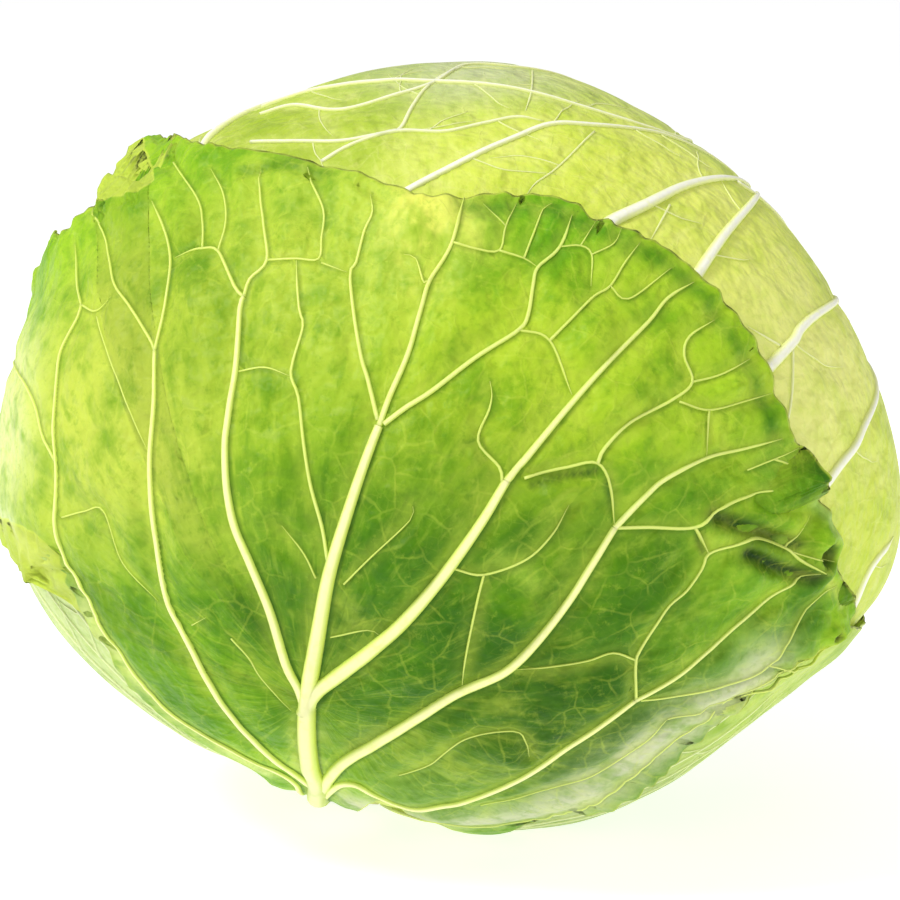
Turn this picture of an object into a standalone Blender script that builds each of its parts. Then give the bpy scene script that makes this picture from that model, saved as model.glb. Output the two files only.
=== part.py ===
# A whole cabbage head, resting on its rounded underside with its cut stem low at the left.
# A dense inner head carries five loose leaves, laid one over the next. Metres, +Z up.
# The origin is the middle of the small flat spot that the head rests on.

import math
import random

import bpy
import numpy as np
from mathutils import Vector
from mathutils.geometry import delaunay_2d_cdt

# Driving dimensions, in metres
HEAD_LENGTH = 0.2050  # across the head, along its long axis
HEAD_HEIGHT = 0.1740  # from the stem's side to the crown
HEAD_DEPTH = 0.1990  # front to back
BLADE = 0.0009  # thickness of a leaf
AIR = 0.0009  # room between one leaf and the next
LAYERS = 0.0042  # the leaves' share of the head's radius
STEM_RADIUS = 0.0142
STEM_FACE = 0.0830  # from the head's centre to the cut face
STEM_SEAT = 0.0745  # from the head's centre to the socket floor that carries the stem
SEAT_GAP = 0.0003
FOLD_DEPTH = 0.0011  # how deep the folds between the inner leaves are
SOCKET = 11.7  # degrees from the stem's axis to the socket's wall
REST_CUT = 0.0017  # how far the rest spot is flattened
MARGIN_LIFT = 0.0023  # how far a leaf's edge stands off what it lies on
RIB_RISE = 0.34  # a rib's height, as a share of its width
RIB_LEAST = 0.0018  # no rib is narrower

# The front drawing: x to the right, y down, as an eye sees the head from straight in front
DRAWING_UNIT = 0.00023  # metres for one unit, at the head's centre
DRAWING_CENTRE = (450.0, 448.0)
EYE_DISTANCE = 0.9
EYE_ELEVATION = math.radians(12.0)  # the eye looks down on the head by this much
HEAD_TILT = math.radians(-12.0)  # the long axis falls to the right
STEM_TOWARDS = (-128.0, -348.0, -22.0)  # from the centre: right, up, towards the eye

# Soft hollows and swellings: angle in the drawing in degrees, half-width in degrees, metres
SWELLINGS = (
    (20.0, 16.0, -0.0030),
    (76.0, 16.0, 0.0024),
    (122.0, 16.0, -0.0052),
    (167.0, 14.0, -0.0048),
    (200.0, 18.0, 0.0034),
    (319.0, 18.0, -0.0062),
    (345.0, 14.0, 0.0036),
)
STEM_HOLLOW = (15.0, 0.0085)  # the dimple round the stem: half-width in degrees, depth

# Mesh spacing, in degrees on the head
STEP = 8.0
EDGE_STEP = 5.0
RIB_STEP = 7.0
BASE_EDGE = 12.0  # where the leaves end round the stem
CLIMB = 17.0  # a leaf climbs over this much on to the one under it


def unit(v):
    v = np.asarray(v, float)
    return v / np.linalg.norm(v, axis=-1, keepdims=True)


# The head's own axes, in the drawing's frame: right, up, towards the eye
LONG_AXIS = np.array((math.cos(HEAD_TILT), math.sin(HEAD_TILT), 0.0))
SHORT_AXIS = np.array((-math.sin(HEAD_TILT), math.cos(HEAD_TILT), 0.0))
EYE_AXIS = np.array((0.0, 0.0, 1.0))
CROWN = -unit(STEM_TOWARDS)
FRONT = unit(EYE_AXIS - CROWN[2] * CROWN)
SIDE = np.cross(CROWN, FRONT)
TO_WORLD = np.array(
    (
        (1.0, 0.0, 0.0),
        (0.0, math.sin(EYE_ELEVATION), -math.cos(EYE_ELEVATION)),
        (0.0, math.cos(EYE_ELEVATION), math.sin(EYE_ELEVATION)),
    )
)

# The front leaf's edge in the front drawing, from the stem up each side
FRONT_LEFT = (
    (262, 768), (215, 742), (175, 712), (140, 680), (110, 635), (85, 590), (69, 545),
    (40, 520), (8, 500),
)
FRONT_TIP = (
    (60, 232), (75, 240), (105, 212), (145, 200), (160, 180), (165, 147), (185, 145),
    (215, 155), (290, 160), (345, 175), (400, 196), (430, 205), (490, 196), (520, 196),
    (560, 204), (600, 222), (640, 242), (700, 285),
)
FRONT_RIGHT = (
    (380, 798), (430, 815), (490, 826), (553, 806), (591, 795), (625, 778), (661, 754),
    (730, 695), (773, 655), (827, 628), (856, 605), (856, 590), (845, 560), (836, 520),
    (818, 478), (800, 445), (785, 440), (775, 400), (760, 360), (735, 322), (700, 285),
)

# The front leaf's ribs in the front drawing: width at the start, width at the end, places
FRONT_RIBS = (
    (32, 20, ((321, 794), (311, 773), (308, 730), (308, 690))),
    (20, 9, ((308, 690), (316, 644), (330, 572), (347, 515), (370, 449), (379, 426))),
    (8, 5, ((378, 420), (360, 351), (350, 277), (365, 232), (372, 202))),
    (9, 5, ((379, 426), (408, 354), (421, 310), (430, 280), (452, 245), (464, 202))),
    (8, 5, ((384, 424), (432, 391), (476, 357), (518, 330), (538, 267), (559, 248), (569, 222))),
    (22, 12, ((312, 696), (376, 647), (441, 579), (506, 481))),
    (12, 5, ((506, 481), (575, 399), (649, 321), (686, 287))),
    (20, 10, ((330, 775), (373, 744), (441, 703), (505, 671), (566, 604), (615, 528))),
    (10, 5, ((615, 528), (666, 478), (706, 458), (772, 440))),
    (14, 9, ((345, 785), (400, 799), (464, 794), (566, 739), (630, 694))),
    (9, 5, ((630, 694), (706, 645), (770, 591), (799, 567), (828, 545))),
    (14, 9, ((303, 692), (270, 612), (235, 526), (225, 443), (235, 366), (244, 297))),
    (7, 4, ((244, 297), (218, 251), (175, 257))),
    (7, 4, ((244, 297), (267, 260), (261, 199), (263, 176))),
    (13, 7, ((300, 775), (238, 710), (192, 632), (165, 561), (152, 457), (155, 351))),
    (6, 4, ((155, 351), (115, 285), (103, 222))),
    (7, 4, ((155, 351), (167, 294), (159, 207))),
    (11, 6, ((292, 780), (212, 730), (155, 681), (98, 592), (67, 495), (62, 389), (82, 305))),
    (6, 4, ((82, 305), (77, 280), (80, 250))),
    (6, 4, ((62, 460), (34, 386), (22, 335))),
    (7, 4, ((328, 562), (303, 443), (291, 377), (303, 326), (296, 260))),
    (6, 4, ((502, 483), (478, 441), (492, 394), (490, 381))),
    (6, 4, ((524, 478), (566, 467), (604, 448), (671, 400), (692, 382), (712, 322))),
    (6, 5, ((615, 527), (690, 526), (749, 494), (797, 490))),
    (6, 5, ((631, 693), (636, 645), (683, 589), (704, 552), (749, 536), (802, 566))),
    (5, 4, ((636, 694), (706, 681), (754, 656), (809, 591), (845, 577))),
    (5, 4, ((454, 569), (484, 575), (527, 559), (569, 505))),
)

# The pale crown leaf's ribs that show past the front leaf, in the same drawing
CROWN_RIBS = (
    (9, 5, ((396, 190), (470, 152), (553, 122), (642, 130), (719, 162), (751, 178))),
    (16, 6, ((600, 232), (649, 200), (706, 178), (754, 187))),
    (13, 8, ((688, 292), (722, 241), (744, 213), (756, 193))),
    (14, 5, ((766, 380), (799, 340), (831, 292), (845, 240))),
    (9, 5, ((822, 498), (846, 467), (870, 419), (872, 385))),
    (9, 5, ((856, 612), (875, 569), (893, 537))),
    (7, 5, ((247, 136), (342, 135), (445, 125), (544, 119))),
    (7, 5, ((258, 110), (344, 102), (430, 82), (521, 69), (639, 107))),
)

# The same leaf's ribs where the drawing can't see them: azimuth and degrees from the stem
CROWN_FAR_RIBS = (
    (20, 12, ((-25, 16), (-35, 60), (-52, 100), (-75, 128), (-115, 148))),
    (9, 5, ((-78, 130), (-40, 152), (40, 160), (120, 158))),
    (8, 5, ((-60, 110), (-84, 114), (-104, 118))),
    (8, 5, ((60, 150), (90, 143), (122, 140))),
    (8, 5, ((82, 128), (100, 124), (118, 118))),
    (8, 5, ((84, 104), (98, 98), (108, 90))),
    (9, 5, ((-115, 148), (-145, 152), (180, 156))),
)


def smooth(x):
    x = np.clip(x, 0.0, 1.0)
    return x * x * (3.0 - 2.0 * x)


def angle_from(d, axis):
    return np.degrees(np.arccos(np.clip(d @ axis, -1.0, 1.0)))


def head_radius(d):
    """Distance from the centre to the inner head's surface, along unit directions d."""
    q = np.sqrt(
        (d @ LONG_AXIS / (HEAD_LENGTH / 2 - LAYERS)) ** 2
        + (d @ SHORT_AXIS / (HEAD_HEIGHT / 2 - LAYERS)) ** 2
        + (d @ EYE_AXIS / (HEAD_DEPTH / 2 - LAYERS)) ** 2
    )
    r = 1.0 / q
    for angle, span, rise in SWELLINGS:
        a = math.radians(angle)
        centre = np.array((math.cos(a), math.sin(a), 0.0))
        r = r + rise * np.exp(-((angle_from(d, centre) / span) ** 2))
    span, depth = STEM_HOLLOW
    return r - depth * np.exp(-((angle_from(d, -CROWN) / span) ** 2))


def drawn(points):
    """Directions of points of the front drawing, where the eye sees them on the head."""
    x, y = np.array(points, float).T
    right = (x - DRAWING_CENTRE[0]) * DRAWING_UNIT
    up = (DRAWING_CENTRE[1] - y) * DRAWING_UNIT
    near = np.full(len(x), HEAD_DEPTH / 3)
    for _ in range(80):
        shrink = 1.0 - near / EYE_DISTANCE
        p = np.stack((right * shrink, up * shrink, near), 1)
        reach = head_radius(unit(p)) + 2 * (BLADE + AIR)
        target = np.sqrt(np.maximum(reach**2 - p[:, 0] ** 2 - p[:, 1] ** 2, 0.0))
        near = 0.5 * (near + target)
    return unit(p)


def turned(points):
    """Directions of (azimuth, degrees from the stem) pairs. Azimuth 0 faces the eye."""
    azimuth, polar = np.radians(np.array(points, float).T)
    flat = np.outer(np.cos(azimuth), FRONT) + np.outer(np.sin(azimuth), SIDE)
    return flat * np.sin(polar)[:, None] - np.outer(np.cos(polar), CROWN)


def round_stem(start, end):
    """The end of a leaf at the stem: an arc from one azimuth to another."""
    return turned([(a, BASE_EDGE) for a in np.linspace(start, end, 7)])


def spline(points, step):
    """A smooth Catmull-Rom curve through the points, with a point about every step."""
    points = np.asarray(points, float)
    ends = np.vstack((2 * points[0] - points[1], points, 2 * points[-1] - points[-2]))
    out = []
    for a, b, c, d in zip(ends, ends[1:], ends[2:], ends[3:]):
        n = max(1, round(np.linalg.norm(c - b) / step))
        t = np.linspace(0.0, 1.0, n, endpoint=False)[:, None]
        bend = t**2 * (a - 2.5 * b + 2 * c - 0.5 * d) + t**3 * (1.5 * b - 0.5 * a - 1.5 * c + 0.5 * d)
        out.append(b + 0.5 * t * (c - a) + bend)
    return np.vstack((*out, points[-1:]))


def along(curve, share):
    """Points at shares, 0 to 1, of a curve's length."""
    steps = np.linalg.norm(np.diff(curve, axis=0), axis=1)
    places = np.concatenate(([0.0], np.cumsum(steps))) / steps.sum()
    return np.stack([np.interp(share, places, curve[:, i]) for i in (0, 1)], 1)


class Leaf:
    """One leaf, drawn flat in degrees about its own middle, with its outline and its ribs.

    base, left, tip and right are the four stretches of its outline, as directions. The base
    and the tip run from left to right, the sides from the base up, and they share corners.
    Ribs wider than crisp, in metres, get a crease on each side of their ridge.
    """

    def __init__(self, name, colour, middle, base, left, tip, right, waves, crisp):
        self.name = name
        self.colour = colour
        self.middle = turned([middle])[0]
        self.up = unit(CROWN - (CROWN @ self.middle) * self.middle)
        self.across = np.cross(self.up, self.middle)
        self.sides = [spline(self.flat(part), EDGE_STEP) for part in (base, left, tip, right)]
        base, left, tip, right = self.sides
        self.outline = np.vstack((base, right[1:], tip[::-1][1:], left[::-1][1:-1]))
        self.waves = waves
        self.crisp = crisp
        self.ribs = []

    def flat(self, d):
        """Directions to flat degrees: each point keeps its distance from the middle."""
        x, y = d @ self.across, d @ self.up
        length = np.maximum(np.hypot(x, y), 1e-9)
        return np.stack((x, y), -1) * (angle_from(d, self.middle) / length)[..., None]

    def raised(self, p):
        """Flat degrees back to directions."""
        away = np.hypot(p[:, 0], p[:, 1])
        x, y = (p / np.maximum(away, 1e-9)[:, None]).T
        turn = np.outer(x, self.across) + np.outer(y, self.up)
        away = np.radians(away)[:, None]
        return np.cos(away) * self.middle + turn * np.sin(away)

    def inside(self, p):
        """Degrees in from the outline, and the nearest place along it, 0 to 1."""
        best = np.full(len(p), 1e9)
        place = np.zeros(len(p))
        odd = np.zeros(len(p), bool)
        n = len(self.outline)
        for i, (a, b) in enumerate(zip(self.outline, np.roll(self.outline, -1, axis=0))):
            ab = b - a
            t = np.clip((p - a) @ ab / (ab @ ab), 0.0, 1.0)
            away = np.linalg.norm(p - a - t[:, None] * ab, axis=1)
            nearer = away < best
            best[nearer] = away[nearer]
            place[nearer] = ((i + t) / n)[nearer]
            spans = (a[1] > p[:, 1]) != (b[1] > p[:, 1])
            if spans.any():
                odd ^= spans & (p[:, 0] < a[0] + (p[:, 1] - a[1]) * ab[0] / ab[1])
        return np.where(odd, best, -best), place

    def depth_at(self, d):
        return self.inside(self.flat(d))[0]

    def add_ribs(self, ribs, directions):
        """Ribs from a table, its widths in drawing units, mapped on by a function."""
        for start, end, places in ribs:
            path = self.flat(directions(places))
            self.ribs.append((start * DRAWING_UNIT, end * DRAWING_UNIT, path))

    def grow_ribs(self, pairs, stout, slim, seed):
        """A midrib and pairs of forked side ribs, laid in shares of the leaf."""
        rng = random.Random(seed)
        v = np.linspace(0.0, 0.92, 8)
        sway = np.array([rng.uniform(-0.04, 0.04) for _ in v])
        self.ribs.append((stout * 1.8, slim, self.patch(sway * v, v)))
        for k in range(pairs):
            for hand in (-1, 1):
                start = 0.04 + 0.66 * (k + 0.3 * (hand > 0)) / pairs
                t = np.linspace(0.0, 1.0, 7)
                u = hand * (0.82 + rng.uniform(-0.05, 0.05)) * t
                v = start + (0.90 - start) * (0.45 * t + 0.35 * t * t)
                self.ribs.append((stout * (1 - 0.45 * k / pairs), slim, self.patch(u, v)))
                fork = 3 + rng.randrange(2)
                t = np.linspace(0.0, 1.0, 4)
                v_fork = v[fork] + (0.93 - v[fork]) * 0.7 * t
                self.ribs.append((slim * 1.3, slim, self.patch(u[fork] + hand * 0.05 * t, v_fork)))

    def patch(self, u, v):
        """Flat places at shares u, -1 left to 1 right, and v, 0 base to 1 tip, of the leaf."""
        s = (u + 1) / 2
        base, left, tip, right = self.sides
        across = along(base, s) * (1 - v)[:, None] + along(tip, s) * v[:, None]
        upward = along(left, v) * (1 - s)[:, None] + along(right, v) * s[:, None]
        low = base[0] * (1 - s)[:, None] + base[-1] * s[:, None]
        high = tip[0] * (1 - s)[:, None] + tip[-1] * s[:, None]
        return across + upward - low * (1 - v)[:, None] - high * v[:, None]


DEGREE = math.radians(1.0) * HEAD_LENGTH / 2  # metres along the head's surface


def rib_rise(leaf, p):
    """Height of the ribs' rounded ridges at flat places p, in metres."""
    rise = np.zeros(len(p))
    for start, end, path in leaf.ribs:
        line = spline(path, 3.0)
        n = len(line) - 1
        for i in range(n):
            a, ab = line[i], line[i + 1] - line[i]
            t = np.clip((p - a) @ ab / max(ab @ ab, 1e-9), 0.0, 1.0)
            away = np.linalg.norm(p - a - t[:, None] * ab, axis=1) * DEGREE
            width = np.maximum(start + (end - start) * (i + t) / n, RIB_LEAST)
            dome = np.clip(1.0 - (away / (width / 2)) ** 2, 0.0, 1.0)
            rise = np.maximum(rise, RIB_RISE * width * dome)
    return rise


def edge_rise(leaf, p, d):
    """How far the leaf's edge lifts and waves, in metres. It stays down near the stem."""
    depth, place = leaf.inside(p)
    clear = smooth((angle_from(d, -CROWN) - 30.0) / 25.0)
    wave = 1.0 + 0.45 * np.sin(2 * math.pi * leaf.waves * place)
    return MARGIN_LIFT * smooth(1.0 - depth / 11.0) * clear * wave


def leaf_points(leaf):
    """Flat places for the leaf's mesh, with the lines along its ribs that edges follow."""
    ring = leaf.outline
    points = list(ring)
    lines = []
    for start, end, path in leaf.ribs:
        line = spline(path, RIB_STEP)
        step = np.gradient(line, axis=0)
        normal = unit(np.stack((-step[:, 1], step[:, 0]), 1))
        width = start + (end - start) * np.linspace(0.0, 1.0, len(line))
        half = np.maximum(width, RIB_LEAST)[:, None] / 2 / DEGREE
        offsets = (0.0, -1.0, 1.0) if start > leaf.crisp else (0.0,)
        for offset in offsets:
            places = line + normal * half * offset
            places = places[leaf.inside(places)[0] > 1.2]
            first = len(points)
            points += list(places)
            lines += [(k, k + 1) for k in range(first, len(points) - 1)]
    taken = np.array(points)
    low, high = ring.min(0), ring.max(0)
    for j, y in enumerate(np.arange(low[1], high[1], STEP * 0.87)):
        row = np.arange(low[0] + (j % 2) * STEP / 2, high[0], STEP)
        grid = np.stack((row, np.full_like(row, y)), 1)
        gap = np.linalg.norm(grid[:, None] - taken[None], axis=2).min(1)
        points += list(grid[(leaf.inside(grid)[0] > 2.5) & (gap > 0.55 * STEP)])
    return points, lines, list(range(len(ring)))


def leaf_mesh(leaf):
    """The leaf's flat mesh: places, and the triangles whose middles are in its outline."""
    points, lines, ring = leaf_points(leaf)
    places = [Vector(q) for q in points]
    places, _, faces, *_ = delaunay_2d_cdt(places, lines, [ring], 1, 0.05, False)
    places = np.array([tuple(q) for q in places])
    middles = places[np.array(faces)].mean(1)
    faces = [f for f, depth in zip(faces, leaf.inside(middles)[0]) if depth > 0]
    used = sorted({k for f in faces for k in f})
    number = {k: i for i, k in enumerate(used)}
    return places[used], [[number[k] for k in f] for f in faces]


def inner_face(leaf, leaves, d):
    """Distance from the centre to the leaf's inner face: it drapes over the leaves below it."""
    order = leaves.index(leaf)
    lift = np.full(len(d), AIR)
    for other in leaves[:order]:
        lift += (BLADE + AIR) * smooth((other.depth_at(d) + CLIMB + 2.0) / CLIMB)
    free = np.ones(len(d))
    for other in leaves[order + 1 :]:
        free = np.minimum(free, 1.0 - smooth((other.depth_at(d) + 8.0) / 6.0))
    return head_radius(d) + lift + edge_rise(leaf, leaf.flat(d), d) * free


def ribs_shown(leaf, leaves, d):
    """1 where the leaf lies open, falling to 0 just inside the edge of one that covers it."""
    shown = np.ones(len(d))
    for other in leaves[leaves.index(leaf) + 1 :]:
        shown = np.minimum(shown, 1.0 - smooth((other.depth_at(d) + 4.5) / 5.0))
    return shown


def head_top(leaves, d):
    """Distance from the centre to the outermost leaf's outer face, without its ribs."""
    top = head_radius(d)
    for leaf in leaves:
        there = leaf.depth_at(d) > -1.0
        top = np.where(there, inner_face(leaf, leaves, d) + BLADE, top)
    return top


def build_leaf(leaf, leaves):
    """The leaf's two faces, joined by a wall round its edge: directions, distances, faces."""
    p, faces = leaf_mesh(leaf)
    d = leaf.raised(p)
    inner = inner_face(leaf, leaves, d)
    outer = inner + BLADE + rib_rise(leaf, p) * ribs_shown(leaf, leaves, d)
    n = len(p)
    edges = {(a, b) for f in faces for a, b in zip(f, f[1:] + f[:1])}
    rim = [(a, b) for a, b in edges if (b, a) not in edges]
    under = [[n + k for k in reversed(f)] for f in faces]
    wall = [[b, a, n + a] for a, b in rim] + [[b, n + a, n + b] for a, b in rim]
    return np.vstack((d, d)), np.concatenate((outer, inner)), faces + under + wall


def inner_head():
    """The dense head of folded inner leaves, with a socket that carries the stem."""
    spokes = 44
    polar = [6.0, SOCKET, SOCKET + 1.0, *np.linspace(18.0, 173.0, 22)]
    rings = len(polar)
    grid = [(360.0 * k / spokes, q) for q in polar for k in range(spokes)]
    d = np.vstack((-CROWN[None], turned(grid), CROWN[None]))
    azimuth = np.array([0.0] + [a for a, _ in grid] + [0.0])
    from_stem = angle_from(d, -CROWN)
    folds = np.zeros(len(d))
    for k in range(5):
        turn = azimuth - 72.0 * k - 0.55 * from_stem
        aside = ((turn + 180.0) % 360.0 - 180.0) * np.sin(np.radians(from_stem))
        folds = np.maximum(folds, np.exp(-((aside / 7.0) ** 2)))
    r = head_radius(d) - SEAT_GAP - FOLD_DEPTH * folds
    floor = (STEM_SEAT - SEAT_GAP) / np.maximum(d @ -CROWN, 0.5)
    r = np.where(from_stem < SOCKET + 0.1, np.minimum(r, floor), r)
    last = len(d) - 1
    faces = []
    for k in range(spokes):
        m = (k + 1) % spokes
        faces.append([0, 1 + m, 1 + k])
        for j in range(rings - 1):
            a, b = 1 + j * spokes, 1 + (j + 1) * spokes
            faces += [[a + k, a + m, b + m], [a + k, b + m, b + k]]
        top = 1 + (rings - 1) * spokes
        faces.append([last, top + k, top + m])
    return d, r, faces


def cut_stem():
    """The stub of the stem: a turned body with an eased rim and a slightly sunk cut face."""
    spokes = 28
    profile = (
        (STEM_RADIUS * 0.93, STEM_SEAT),
        (STEM_RADIUS, STEM_SEAT + 0.0020),
        (STEM_RADIUS * 0.98, STEM_FACE - 0.0012),
        (STEM_RADIUS * 0.91, STEM_FACE),
        (STEM_RADIUS * 0.55, STEM_FACE - 0.0004),
    )
    points = [-CROWN * STEM_SEAT]
    for radius, height in profile:
        for k in range(spokes):
            a = 2 * math.pi * k / spokes
            wobble = 1.0 + 0.03 * math.sin(3 * a + 0.6)
            around = FRONT * math.cos(a) + SIDE * math.sin(a)
            points.append(around * radius * wobble - CROWN * height)
    points.append(-CROWN * (STEM_FACE - 0.0010))
    last = len(points) - 1
    faces = []
    for k in range(spokes):
        m = (k + 1) % spokes
        faces.append([0, 1 + k, 1 + m])
        for j in range(len(profile) - 1):
            a, b = 1 + j * spokes, 1 + (j + 1) * spokes
            faces.append([a + k, b + k, b + m, a + m])
        top = 1 + (len(profile) - 1) * spokes
        faces.append([top + k, last, top + m])
    reach = np.linalg.norm(points, axis=1)
    return unit(points), reach, faces


def make_leaves():
    """The loose leaves, from the innermost out."""
    crown_back = Leaf(
        "crown_back_leaf", (0.60, 0.68, 0.25), (175, 95),
        round_stem(125, 225),
        turned([(125, 12), (100, 40), (86, 80), (78, 120), (60, 150)]),
        turned([(60, 150), (0, 158), (-60, 150)]),
        turned([(225, 12), (252, 40), (266, 80), (274, 120), (300, 150)]),
        8, 0.0026,
    )
    crown_back.grow_ribs(4, 0.0030, 0.0019, 5)
    crown = Leaf(
        "crown_leaf", (0.66, 0.74, 0.22), (0, 98),
        round_stem(-45, 45),
        turned([(-45, 12), (-72, 32), (-94, 60), (-104, 90), (-110, 118), (-122, 140)]),
        turned([(-122, 140), (-150, 153), (180, 158), (150, 153), (128, 138)]),
        turned([(45, 12), (72, 32), (94, 60), (104, 90), (116, 116), (128, 138)]),
        10, 0.0013,
    )
    crown.add_ribs(CROWN_RIBS, drawn)
    crown.add_ribs(CROWN_FAR_RIBS, turned)
    right = Leaf(
        "right_leaf", (0.45, 0.56, 0.16), (120, 62),
        round_stem(70, 170),
        turned([(70, 12), (36, 28), (24, 48), (36, 72)]),
        turned([(36, 72), (62, 86), (90, 88), (118, 101), (150, 110), (178, 106), (196, 92)]),
        turned([(170, 12), (192, 30), (204, 58), (196, 92)]),
        9, 0.0026,
    )
    right.grow_ribs(4, 0.0032, 0.0019, 11)
    left = Leaf(
        "left_leaf", (0.52, 0.64, 0.20), (-120, 62),
        round_stem(-172, -60),
        turned([(-172, 12), (-196, 30), (-204, 60), (-194, 90)]),
        turned([(-194, 90), (-168, 106), (-140, 112), (-114, 98), (-92, 80), (-62, 76), (-34, 70)]),
        turned([(-60, 12), (-30, 28), (-22, 48), (-34, 70)]),
        9, 0.0026,
    )
    left.grow_ribs(4, 0.0032, 0.0019, 23)
    base = round_stem(-30, 26)
    tip = drawn(FRONT_TIP)
    beyond = turned([(-98, 72), (-100, 88)])
    front = Leaf(
        "front_leaf", (0.30, 0.45, 0.05), (-8, 78),
        base,
        np.vstack((base[:1], drawn(FRONT_LEFT), beyond, tip[:1])),
        tip,
        np.vstack((base[-1:], drawn(FRONT_RIGHT))),
        14, 0.0013,
    )
    front.add_ribs(FRONT_RIBS, drawn)
    return [crown_back, crown, right, left, front]


def make_material(name, colour, roughness):
    material = bpy.data.materials.new(name)
    material.use_nodes = True
    shader = material.node_tree.nodes["Principled BSDF"]
    shader.inputs["Base Color"].default_value = (*colour, 1.0)
    shader.inputs["Roughness"].default_value = roughness
    shader.inputs["Metallic"].default_value = 0.0
    return material


def make_object(name, points, faces, material):
    mesh = bpy.data.meshes.new(name)
    mesh.from_pydata([tuple(p) for p in points], [], faces)
    mesh.shade_smooth()
    mesh.materials.append(material)
    bpy.context.scene.collection.objects.link(bpy.data.objects.new(name, mesh))


def head_centre(leaves):
    """Where the head's centre goes, so that its lowest place is cut flat at the origin."""
    angles = np.radians(np.linspace(0.0, 360.0, 60, endpoint=False))
    tilts = np.radians(np.linspace(0.0, 35.0, 36))
    around = np.outer(np.cos(angles), (1, 0, 0)) + np.outer(np.sin(angles), (0, 1, 0))
    rays = [a * math.sin(t) - np.array((0, 0, math.cos(t))) for t in tilts for a in around]
    d = np.array(rays) @ TO_WORLD
    p = np.array(rays) * head_top(leaves, d)[:, None]
    low = p[p[:, 2] < p[:, 2].min() + REST_CUT]
    middle = (low.min(0) + low.max(0)) / 2
    return np.array((-middle[0], -middle[1], -p[:, 2].min() - REST_CUT))


def main():
    for obj in list(bpy.data.objects):
        bpy.data.objects.remove(obj)
    leaves = make_leaves()
    shapes = {leaf.name: build_leaf(leaf, leaves) for leaf in leaves}
    shapes["inner_head"] = inner_head()
    shapes["cut_stem"] = cut_stem()
    colours = {leaf.name: leaf.colour for leaf in leaves}
    colours["inner_head"] = (0.70, 0.75, 0.35)
    colours["cut_stem"] = (0.68, 0.66, 0.38)
    centre = head_centre(leaves)
    for name, (d, r, faces) in shapes.items():
        points = (d * r[:, None]) @ TO_WORLD.T + centre
        under = np.maximum(head_top(leaves, d) - r, 0.0)
        points[:, 2] = np.maximum(points[:, 2], under)
        make_object(name, points, faces, make_material(name, colours[name], 0.5))


main()
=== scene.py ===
import math
import random

import bpy
import numpy as np
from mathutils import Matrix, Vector


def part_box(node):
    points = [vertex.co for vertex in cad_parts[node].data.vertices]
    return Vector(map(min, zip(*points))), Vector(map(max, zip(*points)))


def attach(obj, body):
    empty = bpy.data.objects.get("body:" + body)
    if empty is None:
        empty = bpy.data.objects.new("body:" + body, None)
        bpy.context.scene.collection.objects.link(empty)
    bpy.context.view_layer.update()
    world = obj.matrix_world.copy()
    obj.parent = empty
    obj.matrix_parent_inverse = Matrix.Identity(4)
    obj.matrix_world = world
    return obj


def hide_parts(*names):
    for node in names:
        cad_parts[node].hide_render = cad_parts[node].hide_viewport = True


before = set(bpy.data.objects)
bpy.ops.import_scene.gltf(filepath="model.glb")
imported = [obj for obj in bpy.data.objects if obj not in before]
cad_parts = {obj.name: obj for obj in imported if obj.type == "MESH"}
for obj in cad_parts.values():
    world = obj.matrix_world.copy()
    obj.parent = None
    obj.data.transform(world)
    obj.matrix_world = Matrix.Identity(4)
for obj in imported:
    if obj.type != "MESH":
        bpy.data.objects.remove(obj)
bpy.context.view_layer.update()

# The head's own form, in metres and degrees, the same as the solids'.
# Drawing places are x to the right and y down, as the eye in front sees the head.
head = dict(
    length=0.2050, height=0.1740, depth=0.1990, layers=0.0042,
    blade=0.0009, air=0.0009, climb=17.0, baseEdge=12.0,
    lift=0.0023, liftReach=11.0, wave=0.45, waveReach=6.0, stemClear=(30.0, 25.0),
    unit=0.00023, drawingCentre=(450.0, 448.0), eye=0.9, elevation=12.0,
    tilt=-12.0, stemTowards=(-128.0, -348.0, -22.0),
    swellings=((20, 16, -0.0030), (76, 16, 0.0024), (122, 16, -0.0052), (167, 14, -0.0048),
               (200, 18, 0.0034), (319, 18, -0.0062), (345, 14, 0.0036)),
    hollow=(15.0, 0.0085),
)
# How a leaf that others cover goes flat: degrees before their edge, and over how many degrees
cover = dict(shown=(4.5, 5.0), free=(8.0, 6.0), start=2.0)
mm = 0.001
degree = math.radians(1.0) * head["length"] / 2  # metres along the surface for one degree


# Vectors divided by their own lengths
def unit(v):
    v = np.asarray(v, float)
    return v / np.linalg.norm(v, axis=-1, keepdims=True)


# 3 x squared less 2 x cubed, from 0 at 0 to 1 at 1
def smooth(x):
    x = np.clip(x, 0.0, 1.0)
    return x * x * (3.0 - 2.0 * x)


tilt, elevation = math.radians(head["tilt"]), math.radians(head["elevation"])
longAxis = np.array((math.cos(tilt), math.sin(tilt), 0.0))
shortAxis = np.array((-math.sin(tilt), math.cos(tilt), 0.0))
eyeAxis = np.array((0.0, 0.0, 1.0))
crown = -unit(head["stemTowards"])
front = unit(eyeAxis - crown[2] * crown)
side = np.cross(crown, front)
toWorld = np.array(((1.0, 0.0, 0.0), (0.0, math.sin(elevation), -math.cos(elevation)),
                    (0.0, math.cos(elevation), math.sin(elevation))))


# Degrees between directions and an axis: the arc cosine of their product
def angleFrom(d, axis):
    return np.degrees(np.arccos(np.clip(d @ axis, -1.0, 1.0)))


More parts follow.
